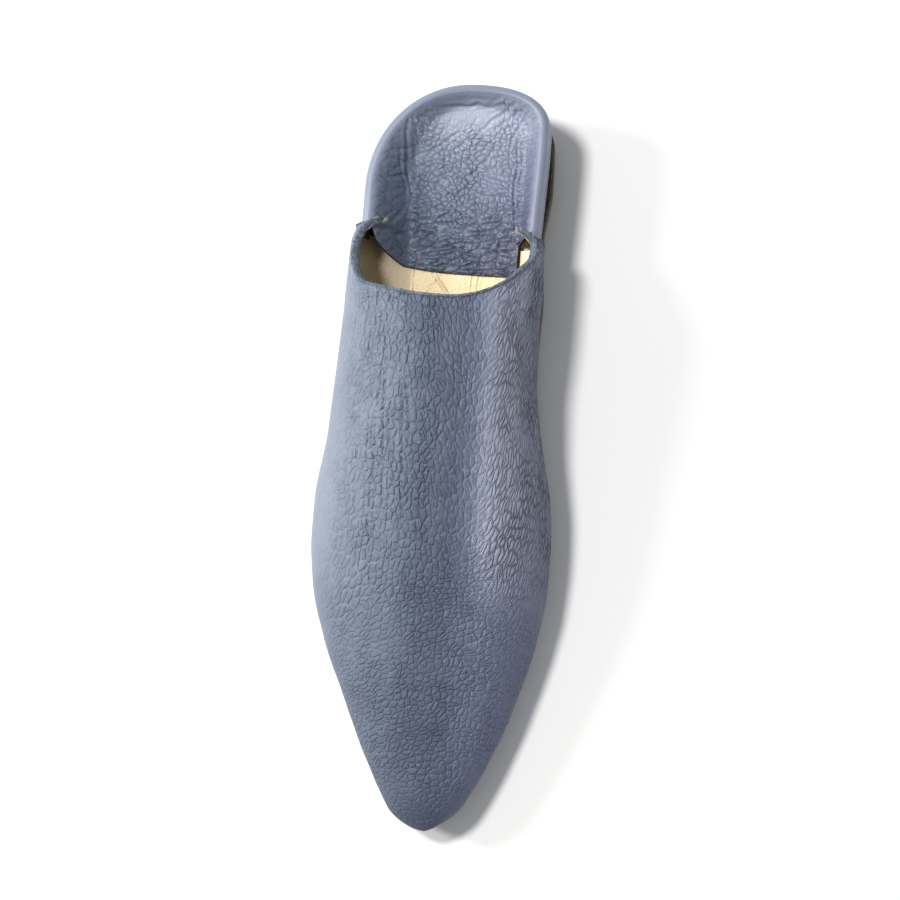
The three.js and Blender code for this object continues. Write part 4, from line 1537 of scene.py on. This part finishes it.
# ---------------------------------------------------------------- the folded heel back
@dataclass
class Quarter:
    """The heel back: one leather that stands round the heel, rolls over at the rim and lies folded inside."""

    last: Last
    rim: float = 18.0
    roll: float = 2.5
    leather: float = 1.5
    insole: float = 2.0
    flap: float = 2.2
    rise: float = 6.0
    rise_length: float = 28.0
    shoulder: float = 0.4
    corner: float = 1.3
    lean: float = 0.15
    front_end: float = 71.8
    corner_x: float = 19.8
    step: int = 6
    around: int = 174
    rows: int = 222
    columns: int = 204
    end: dict[Side, float] = field(default_factory=lambda: {Side.LATERAL: 57.5, Side.MEDIAL: 61.0})
    slope: Table = Table(
        "lateral medial",
        (0, 4.4, 4.4), (4, 4.4, 4.6), (8, 5.2, 5.4), (14, 7.8, 7.0), (24, 10.2, 7.2), (40, 12.0, 6.6),
        (60, 13.5, 6.2),
    )
    front: Table = Table(
        "at",
        (-36.5, 57.5), (-34.6, 58.2), (-31.8, 63.1), (-26.4, 67.5), (-22, 69.3), (-9.2, 70.9), (5, 71.5),
        (19.6, 71.8),
    )

    def crest_inset(self) -> float:
        """How far inside the outer face the top of the rim lies."""
        return self.lean + self.roll

    def seat_height(self, at: Array) -> Array:
        """The height of the folded leather's top: it climbs by the rise to the back of the heel."""
        climb = self.rise * (1 - smooth(5.8, 5.8 + self.rise_length, at))
        return self.last.seam(at) + self.insole + self.last.gap + self.flap + climb

    def crest(self, side: Side, front: float, count: int = 400) -> tuple[Array, Array]:
        """The top of the rim in plan, from the back of the heel forward, evenly spaced.

        Args:
            side: which side of the shoe.
            front: where it ends.
            count: how many stretches it has.

        Returns:
            x and the station of each point.
        """
        inset = self.crest_inset()
        at = self.last.heel_turn(np.array([inset]), np.array([front]), count)
        half = self.last.heel_half(self.last.heel_back, side, at, inset)
        x, at, _ = evenly(half, at, count)
        return side.value * x[0], at[0]

    def build(self, finishes: Finishes) -> None:
        """Makes the standing part and the folded-down part."""
        self.build_wall(finishes)
        self.build_seat(finishes)

    def thicken(
        self, name: str, face: Array, height: Array, painted: dict[str, Array], outward: Array,
        materials: list[Material],
    ) -> Piece:
        """Gives a face its relief and the leather's thickness.

        Args:
            name: the piece's name.
            face: a grid of points.
            height: the relief at each point.
            painted: numbers for each point.
            outward: the face's unit normals, on the side that is seen.
            materials: of the face and of the underside.

        Returns:
            The piece.
        """
        shown, under = face + outward * height[..., None], face - outward * self.leather
        if np.sum(face_normals(face) * outward) < 0:
            shown, under = shown[:, ::-1], under[:, ::-1]
            painted = {key: value[:, ::-1] for key, value in painted.items()}
        patch = Patch(other_material=1)
        close_sheet(patch, shown, under, self.step, **painted)
        return patch.make(name, materials, weld=0.002)

    def build_wall(self, finishes: Finishes) -> None:
        """Makes the leather round the heel, from the sole seam up the outside to the top of the rim.

        Args:
            finishes: the shoe's finishes.
        """
        last = self.last
        straight = self.rim - self.roll
        rise = Table("inset", (0, last.heel_tuck), (4, 0.8), (9, 0), (14, 0), (straight, self.lean))
        up = np.linspace(0, straight, 37)[:-1]
        theta = np.linspace(0, np.pi / 2, 19)
        inset = np.r_[rise.read("inset", up), self.lean + self.roll * (1 - np.cos(theta))]
        height = np.r_[up, straight + self.roll * np.sin(theta)]
        sides = []
        for side, low_end in zip(Side, (60.0, 66.0)):
            front = mix(low_end, self.end[side], smooth(0.6, 1.0, height / self.rim))
            at = last.heel_turn(inset, front, 400)
            half = last.heel_half(last.heel_back, side, at, inset[:, None])
            x, at, _ = evenly(half, at, self.around)
            sides.append(last.place(side.value * x, at, last.seam(at) + height[:, None]))
        face = np.concatenate([sides[0][:, ::-1], sides[1][:, 1:]], 1)
        normal = face_normals(face)
        lean = np.sign(normal[18, self.around] @ np.array([0, 1.0, 0]))
        along = np.linspace(0, 170, face.shape[1])[None] + 0 * height[:, None]
        tall = height[:, None] + 0 * along
        u = along + 0.8 * noise(along / 6, tall / 6, 66)
        pebble, _, _ = cells(u / 2.6, tall / 2.4)
        fade = 1 - smooth(0.72, 0.9, tall / self.rim)
        relief = -0.12 * fade * (1 - np.clip(pebble / 0.35, 0, 1)) ** 2
        relief = relief + 0.18 * fade * noise(along / 11, tall / 9, 68)
        none = 0 * tall
        # tone: painted light, rising towards the top of the rim, a painted highlight along it
        painted = {"groove": none, "line": none, "tint": smooth(60, 110, along), "across": u / 2.6,
                   "along": tall / 2.4, "net": 0.6 * fade, "wide": none, "sweep": none, "stagger": none,
                   "fan": none, "tone": mix(1.3, 1.75, smooth(0.4, 0.9, tall / self.rim))}
        materials = [finishes.flap, finishes.inside]
        finish_piece(
            self.thicken("quarter_leather", face, relief, painted, lean * normal, materials), "upper_leather"
        )

    def seat_plan(self) -> tuple[Array, Array]:
        """Lays a grid over the folded part in plan, between the rim's top and the cut front edge.

        The four borders are blended as a Coons patch: the sum of both pairs of borders, each mixed
        straight across, less the corners mixed both ways. Over the last of the medial side, where the leather
        is cut free of the wall, the columns are drawn in with the sixth power of their share.

        Returns:
            x and the station of each point.
        """
        dense = np.linspace(0, 0.05, 25)
        q = np.r_[dense, np.linspace(0.05, 1, self.rows - 23)[1:]][:, None]
        p = np.linspace(0, 1, self.columns + 1)[None]
        left_x, left_at = self.crest(Side.LATERAL, self.end[Side.LATERAL])
        right_x, right_at = self.crest(Side.MEDIAL, self.front_end)
        kept_left, kept_right = left_at > 13.0, right_at > 6.0
        back_x = np.r_[left_x[~kept_left][::-1], right_x[~kept_right][1:]]
        back_at = np.r_[left_at[~kept_left][::-1], right_at[~kept_right][1:]]
        arc = np.r_[0, np.cumsum(np.hypot(np.diff(back_x), np.diff(back_at)))]
        arc = arc / arc[-1]
        left = [np.interp(q, np.linspace(0, 1, kept_left.sum()), v[kept_left]) for v in (left_x, left_at)]
        steps = np.linspace(0, 1, kept_right.sum())
        right = [np.interp(q, steps, v[kept_right]) for v in (right_x, right_at)]
        back = [np.interp(p, arc, v) for v in (back_x, back_at)]
        front_x = mix(left[0][-1, 0], right[0][-1, 0], p)
        ahead = [front_x, self.front.read("at", front_x)]
        ahead[1][0, 0] = left[1][-1, 0]

        def blend(k: int) -> Array:
            """Blends one coordinate of the Coons patch.

            Args:
                k: 0 for x and 1 for the station.

            Returns:
                The coordinate of each point.
            """
            pairs = mix(back[k], ahead[k], q) + mix(left[k], right[k], p)
            corners = mix(mix(back[k][0, 0], back[k][0, -1], p), mix(ahead[k][0, 0], ahead[k][0, -1], p), q)
            return pairs - corners

        x, at = blend(0), blend(1)
        cut = smooth(58.0, 60.0, at)
        return x - (right_x[-1] - self.corner_x) * cut * p**6, at

    def seat_form(self, x: Array, at: Array) -> tuple[Array, Array]:
        """The folded part's height: from the rim over a rounded shoulder down a slope to the seat.

        With d the distance in from the rim's top, w the slope's width and r its shoulder's radius, the drop
        is the whole height times (hypot(d, r) - r) / (hypot(w, r) - r), and the rest ends softly on the seat.

        Args:
            x: distances from the axis.
            at: stations.

        Returns:
            The height, and the distance from the rim.
        """
        lines = [self.crest(side, 80.0, 300) for side in Side]
        crest_x = np.r_[lines[0][0][::-1], lines[1][0]]
        crest_at = np.r_[lines[0][1][::-1], lines[1][1]]
        widths = [self.slope.read(side.column, line[1]) for side, line in zip(Side, lines)]
        width_at = np.r_[widths[0][::-1], widths[1]]
        apart, width = np.zeros_like(x), np.zeros_like(x)
        for row in range(len(x)):
            away = np.hypot(x[row][:, None] - crest_x[None], at[row][:, None] - crest_at[None])
            weight = np.exp(-((away - away.min(1, keepdims=True)) / 1.5))
            apart[row] = away.min(1)
            width[row] = (weight * width_at[None]).sum(1) / weight.sum(1)
        seat = self.seat_height(at)
        whole = self.last.seam(at) + self.rim - seat
        bend = np.clip(self.shoulder * width, 0.8, 4.2) + 3 * bell(x - 2, 16) * (1 - smooth(8, 14, at))
        shoulder = np.hypot(apart, bend) - bend
        full = np.hypot(width, bend) - bend
        rest = whole * (1 - shoulder / full)
        left = (rest + np.hypot(rest, self.corner)) / 2
        return seat + left * 2 * whole / (whole + np.hypot(whole, self.corner)), apart

    def build_seat(self, finishes: Finishes) -> None:
        """Makes the leather from the rim down the inside and over the insole to its cut front edge.

        Args:
            finishes: the shoe's finishes.
        """
        x, at = self.seat_plan()
        z, apart = self.seat_form(x, at)
        face = self.last.place(x, at, z)
        normal = face_normals(face)
        lean = np.sign(normal[100, 100, 2])
        found, finish = FlapGrain().relief(x, at)
        shown_share = smooth(0.4, 3.5, apart)
        edge = np.minimum(at[-1:] - at, 40.0)
        height = found.height * shown_share + 0.35 * noise(x / 15, at / 14, 69) * smooth(3, 8, apart)
        height = height - 0.5 * (1 - smooth(0, 0.9, edge)) ** 2
        painted = {"groove": found.groove * shown_share, "line": found.line * shown_share,
                   "tint": smooth(-20, 20, x), **finish}
        for key in ("net", "fan"):
            painted[key] = painted[key] * shown_share
        # painted highlight along the top of the rim: the tone rises to 1.7 there
        painted["tone"] = mix(1.7, painted["tone"], smooth(1, 4.5, apart))
        # the underside and cut edges take the near black flesh, part painted shade
        materials = [finishes.flap, finishes.flesh_and_shade]
        made = self.thicken("flap_leather", face, height, painted, lean * normal, materials)
        finish_piece(made, "upper_leather", "heel_flap")


# ---------------------------------------------------------------- sole, heel and insole
Row = tuple[Array, Array, Array]


def plate(
    last: Last, name: str, rows: list[Row], heights: list[Array], columns: int, grooves: list[float],
    material: Material,
) -> Piece:
    """Makes a plate over an outline: its edge is a profile carried round the outline, its faces run across.

    Args:
        last: the form of the shoe.
        name: the piece's name.
        rows: for each level of the edge's profile, from underneath to the top, the stations and the lateral
            and medial half widths.
        heights: each level's height at its stations.
        columns: stretches across the plate.
        grooves: how dark each level is.
        material: the plate's finish.

    Returns:
        The plate.
    """
    part = np.linspace(0, 1, columns + 1)[None]
    loops, caps = [], []
    for (at, lateral, medial), z in zip(rows, heights):
        cap = last.place(mix(-lateral[:, None], medial[:, None], part), at[:, None], z[:, None])
        loops.append(np.concatenate([cap[::-1, 0], cap[1:, -1], cap[-1, -2:0:-1], cap[-1:, 0]]))
        caps.append(cap)
    patch = Patch()
    edge = np.stack(loops)
    dark = np.broadcast_to(np.array(grooves)[:, None], edge.shape[:2])
    patch.add_grid(patch.add_points(edge, groove=dark))
    patch.add_grid(patch.add_points(caps[0]))
    patch.add_grid(patch.add_points(caps[-1]), turned=True)
    return patch.make(name, [material], weld=0.004)


@dataclass
class Sole:
    """The outsole, the heel's stacked lifts, its rubber top piece and the sole's stitches."""

    last: Last
    top_piece: float = 3.0
    taper: float = 1.4
    lifts: int = 3
    toe_length: float = 20.0

    def ledge(self, at: Array, inset: float) -> Array:
        """How much further the sole's edge stands out on the medial side than on the lateral."""
        share = self.last.heel_end[Side.MEDIAL].share(at - self.last.heel_tuck - inset)
        return (self.last.sole.read("ledge", at) - self.last.sole_edge) * share - 0.8 * smooth(78, 100, at)

    def whole_rows(self, inset: float, ledge: bool, dense: int = 4) -> Row:
        """An outline of the whole foot.

        Args:
            inset: how far inside the sole's seam it lies.
            ledge: whether it stands out further on the medial side.
            dense: how close its stations are.

        Returns:
            Stations, and lateral and medial half widths.
        """
        last = self.last
        start, reach = last.heel_tuck + inset, last.heel_end[Side.LATERAL].length
        tip = last.length - last.sole_tuck - inset
        turn = start + (reach - start) * (1 - np.cos(np.linspace(0, np.pi / 2, 12 * dense)))
        toe = last.length - self.toe_length
        along = np.linspace(reach, toe, 28 * dense)[1:]
        close = mix(toe, tip, np.sin(np.linspace(0, np.pi / 2, 10 * dense)))[1:]
        at = np.r_[turn, along, close]
        end = last.toe_end.share(tip - at)
        lateral = last.heel_half(last.sole, Side.LATERAL, at, inset, last.heel_tuck)
        medial = last.heel_half(last.sole, Side.MEDIAL, at, inset, last.heel_tuck)
        extra = self.ledge(at, inset) if ledge else 0.0
        return at, lateral * end, (medial + extra) * end

    def build(self, finishes: Finishes) -> None:
        """Makes the outsole, the heel and the stitches.

        Args:
            finishes: the shoe's finishes.
        """
        last = self.last
        # each level's inset, height and darkness; the near black top ledge is edge dye and painted shade of
        # the gap under the upper
        profile = [
            (0.9, 0.0, 0.3), (0.35, 0.15, 0.2), (0.05, 0.6, 0.0), (0.0, 1.6, 0.0), (0.02, 2.4, 0.2),
            (0.18, 2.6, 1.0), (0.02, 2.8, 0.2), (0.03, 3.4, 0.0), (0.25, 3.85, 0.1), (0.8, 4.0, 0.3),
            (2.2, 4.0, 0.8),
        ]
        rows = [self.whole_rows(inset - last.sole_edge, True) for inset, _, _ in profile]
        heights = [last.sole.read("under", at) + up for (at, _, _), (_, up, _) in zip(rows, profile)]
        dark = [dark for _, _, dark in profile]
        made = plate(last, "outsole_leather", rows, heights, 24, dark, finishes.sole)
        finish_piece(made, "sole_leather", "outsole")
        self.build_heel(finishes)
        self.build_stitches(finishes)

    def heel_rows(self, z: float, inset: float) -> Row:
        """The heel's outline at a height: it narrows towards the floor.

        Args:
            z: the height.
            inset: how far inside the heel's face it lies.

        Returns:
            Stations, and lateral and medial half widths.
        """
        last = self.last
        inset = inset + 0.3 - last.sole_edge + self.taper * (1 - z / last.heel_height)
        at = last.heel_turn(np.array([last.heel_tuck + inset]), np.array([last.heel_front]), 120)[0]
        lateral = last.heel_half(last.sole, Side.LATERAL, at, inset, last.heel_tuck)
        medial = last.heel_half(last.sole, Side.MEDIAL, at, inset, last.heel_tuck) + self.ledge(at, inset)
        return at, lateral, medial

    def build_heel(self, finishes: Finishes) -> None:
        """Makes the stacked lifts, with a fine groove between two lifts, and the rubber top piece.

        Args:
            finishes: the shoe's finishes.
        """
        last = self.last

        def block(name: str, levels: list[tuple[float, float, float]], material: Material) -> Piece:
            """Makes a plate of the heel.

            Args:
                name: the piece's name.
                levels: the height, the inset and the darkness of each level of its edge.
                material: its finish.

            Returns:
                The plate.
            """
            rows = [self.heel_rows(z, inset) for z, inset, _ in levels]
            heights = [np.full(len(at), z) for (at, _, _), (z, _, _) in zip(rows, levels)]
            return plate(last, name, rows, heights, 16, [dark for _, _, dark in levels], material)

        low, high = self.top_piece + last.gap, last.heel_height - last.gap
        groove = ((-0.3, 0.0, 0.1), (-0.1, 0.06, 0.5), (0.0, 0.28, 1.0), (0.1, 0.06, 0.5), (0.3, 0.0, 0.1))
        levels = [(low, 0.35, 0.6), (low + 0.15, 0.05, 0.2)]
        for k in range(1, self.lifts):
            z = mix(low, high, k / self.lifts)
            levels += [(z + up, inset, dark) for up, inset, dark in groove]
        levels += [(high - 0.15, 0.05, 0.2), (high, 0.35, 0.6)]
        finish_piece(block("heel_lifts", levels, finishes.lifts), "heel_leather", "heel_block")
        profile = ((0.0, 0.5), (0.12, 0.16), (0.5, 0.0), (2.6, 0.0), (2.9, 0.1), (3.0, 0.35))
        levels = [(z, inset, 0.0) for z, inset in profile]
        finish_piece(block("heel_top_piece_rubber", levels, finishes.rubber), "heel_rubber", "heel_top_piece")

    def build_stitches(self, finishes: Finishes) -> None:
        """Makes the stitches that hold the upper on the outsole: short bowed threads along the seam.

        Args:
            finishes: the shoe's finishes.
        """
        last = self.last
        at, lateral, medial = self.whole_rows(-0.25, True)
        loop = np.concatenate([np.stack([-lateral, at], 1)[::-1], np.stack([medial, at], 1)[1:]])
        arc = run_length(loop)
        pitch, length = 5.0, 3.4
        start = np.arange(4, arc[-1] - 4, pitch)[:, None]
        t = np.linspace(0, 1, 6)[None]
        where = start + length * t
        x = np.interp(where, arc, loop[:, 0])
        along = np.interp(where, arc, loop[:, 1])
        z = last.sole.read("under", along) + last.outsole + 0.12 + 0.3 * np.sin(np.pi * t)
        patch = Patch()
        tube(patch, last.place(x, along, z), 0.3 * np.sin(np.pi * np.clip(t, 0.12, 0.88)) ** 0.5, sides=6)
        finish_piece(patch.make("sole_stitches", [finishes.thread]), "thread")


TOOLED_LINES = creases(
    (2.6, 56, 2.9, 150, 0, 0.5, 0.32), (4.6, 56, 4.9, 150, 0, 0.5, 0.32),
    (11.4, 56, 11.6, 150, 0, 0.4, 0.3), (-13, 70, -4.5, 82, 0.4, 0.55, 0.4),
    (-11.2, 70, -2.6, 82, 0.4, 0.5, 0.35), (-8, 71, -16, 78, -0.6, 0.4, 0.4),
    (-10, 74, -17, 80, -0.6, 0.36, 0.4), (-19, 66, -19.4, 100, 0.2, 0.3, 0.5),
    (14, 72, 17, 80, 0.5, 0.3, 0.5),
)


@dataclass
class Insole:
    """The insole board and its cream cover with tooled lines."""

    sole: Sole
    thickness: float = 2.0
    cover: float = 0.5
    clearance: float = 0.35
    sunk: float = 0.4
    cover_width: tuple[float, float] = (0.565, 0.62)

    def build(self, finishes: Finishes) -> None:
        """Makes the board and the cover.

        Args:
            finishes: the shoe's finishes.
        """
        last = self.sole.last
        profile = [(0.3, 0.0), (0.0, 0.3), (0.0, 1.7), (0.3, 2.0)]
        rows = [self.sole.whole_rows(last.wall + 0.8 + inset, False, 2) for inset, _ in profile]
        heights = [last.seam(at) + up for (at, _, _), (_, up) in zip(rows, profile)]
        made = plate(last, "insole_board", rows, heights, 12, [0.0] * len(profile), finishes.insole)
        finish_piece(made, "insole_leather", "insole")
        at = np.r_[np.linspace(57, 110, 163), np.linspace(110, 262, 147)[1:]]
        part = np.linspace(0, 1, 151)[None]
        foot = [last.sole.read(side.column, at) for side in Side]
        left, right = (share * half for share, half in zip(self.cover_width, foot))
        x = mix(-left[:, None], right[:, None], part)
        found = Relief.flat(x)
        found.crease(x, at[:, None] + 0 * x, TOOLED_LINES, 101)
        lift = 0.16 * noise(x / 7, at[:, None] / 9, 103) + 0.05 * noise(x / 1.6, at[:, None] / 1.8, 104)
        edge = np.minimum(x - x[:, :1], x[:, -1:] - x)
        top = last.seam(at)[:, None] + self.thickness + self.clearance + self.cover
        z = top + found.height + lift - 0.4 * bell(edge, 0.35)
        face = last.place(x, at[:, None], z)
        under = last.place(x, at[:, None], z - self.cover - self.sunk)
        patch = Patch()
        rim = 0.9 * bell(edge, 0.5)
        close_sheet(patch, face, under, 2, groove=np.maximum(found.groove, rim))
        made = patch.make("insole_cover", [finishes.insole], weld=0.002)
        finish_piece(made, "insole_leather")


# ---------------------------------------------------------------- the picture
@dataclass(frozen=True)
class Studio:
    """A pale floor, soft lights from the lateral side, and the camera over the shoe."""

    axis_x: float
    distance: float = 800.0
    elevation: float = 76.0
    azimuth: float = 38.0
    roll: float = -34.44
    focal: float = 85.92
    aim_height: float = 20.0

    def build(self) -> None:
        """Makes the floor, the lights and the camera."""
        self.build_floor()
        self.build_lights()
        self.build_camera()

    def build_camera(self) -> None:
        """Looks at the shoe's middle from above its toe and medial side, rolled about the line of sight."""
        e, a, r = np.radians([self.elevation, self.azimuth, self.roll])
        back = np.array([np.sin(a) * np.cos(e), -np.cos(a) * np.cos(e), np.sin(e)])
        level = np.cross(-back, [0, 0, 1.0])
        level /= np.linalg.norm(level)
        up = np.cross(level, -back)
        right, over = np.cos(r) * level + np.sin(r) * up, -np.sin(r) * level + np.cos(r) * up
        camera = bpy.data.cameras.new("camera")
        camera.lens, camera.sensor_width = self.focal, 36.0
        camera.clip_start, camera.clip_end = 0.01, 20.0
        made = bpy.data.objects.new("camera", camera)
        place = (np.array([self.axis_x, 0, self.aim_height]) + self.distance * back) * MM
        matrix = np.eye(4)
        matrix[:3, :] = np.stack([right, over, back, place], 1)
        made.matrix_world = Matrix(matrix.tolist())
        bpy.context.scene.collection.objects.link(made)
        bpy.context.scene.camera = made

    def build_floor(self) -> None:
        """A wide, matte, nearly white floor."""
        patch = Patch()
        side = np.linspace(-2500, 2500, 9)
        x, y = np.meshgrid(side, side, indexing="ij")
        patch.add_grid(patch.add_points(np.stack([x, y, 0 * x - 0.05], -1)))
        n = Nodes("floor")
        tone = n.noise(n.place(), 3, 2)
        n.surface(n.blend(n.span(tone, 0.3, 0.7, 0, 1), rgba(243, 243, 244), rgba(247, 247, 247)), 0.9)
        floor = patch.make("floor", [n.material])

    def lamp(self, name: str, aim: tuple[float, float, float], reach: float, size: float, power: float,
             colour: tuple[float, float, float]) -> None:
        """Hangs a soft area light, turned to the shoe.

        Args:
            name: the light's name.
            aim: its direction from the shoe.
            reach: its distance, in metres.
            size: its diameter, in metres.
            power: its power, in watts.
            colour: its colour.
        """
        light = bpy.data.lights.new(name, "AREA")
        light.shape, light.size, light.energy, light.color = "DISK", size, power, colour
        made = bpy.data.objects.new(name, light)
        where = Vector(aim).normalized() * reach
        made.location = where
        made.rotation_euler = (-where).to_track_quat("-Z", "Y").to_euler()
        bpy.context.scene.collection.objects.link(made)

    def build_lights(self) -> None:
        """A key from the lateral side, a weak fill from above and a pale world."""
        self.lamp("key", (-1.0, 0.15, 0.66), 1.3, 0.36, 12.0, (1.0, 0.97, 0.92))
        self.lamp("top", (-0.36, 0.16, 1.0), 1.3, 0.24, 13.0, (1.0, 0.98, 0.95))
        self.lamp("side", (1.0, -0.2, 0.6), 1.5, 1.2, 1.5, (0.97, 0.98, 1.0))
        world = bpy.data.worlds.new("studio")
        world.use_nodes = True
        world.node_tree.nodes["Background"].inputs[0].default_value = (0.94, 0.97, 1.0, 1)
        world.node_tree.nodes["Background"].inputs[1].default_value = 0.34
        bpy.context.scene.world = world
        bpy.context.scene.view_settings.view_transform = "Standard"


def main() -> None:
    """Builds the slipper piece by piece round the CAD frame, then the studio."""
    logging.basicConfig(level=logging.INFO, format="%(name)s: %(message)s")
    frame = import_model()
    low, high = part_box("upper")
    length = round((high.y - low.y) / MM, 1)
    last = Last(length=length, axis_x=AXIS_X)
    log.info("CAD nodes: %s", ", ".join(sorted(frame["nodes"])))

    finishes = Finishes()
    Vamp(last).build(finishes)
    Quarter(last).build(finishes)
    sole = Sole(last)
    sole.build(finishes)
    Insole(sole).build(finishes)
    Studio(AXIS_X).build()


if __name__ == "__main__":
    main()
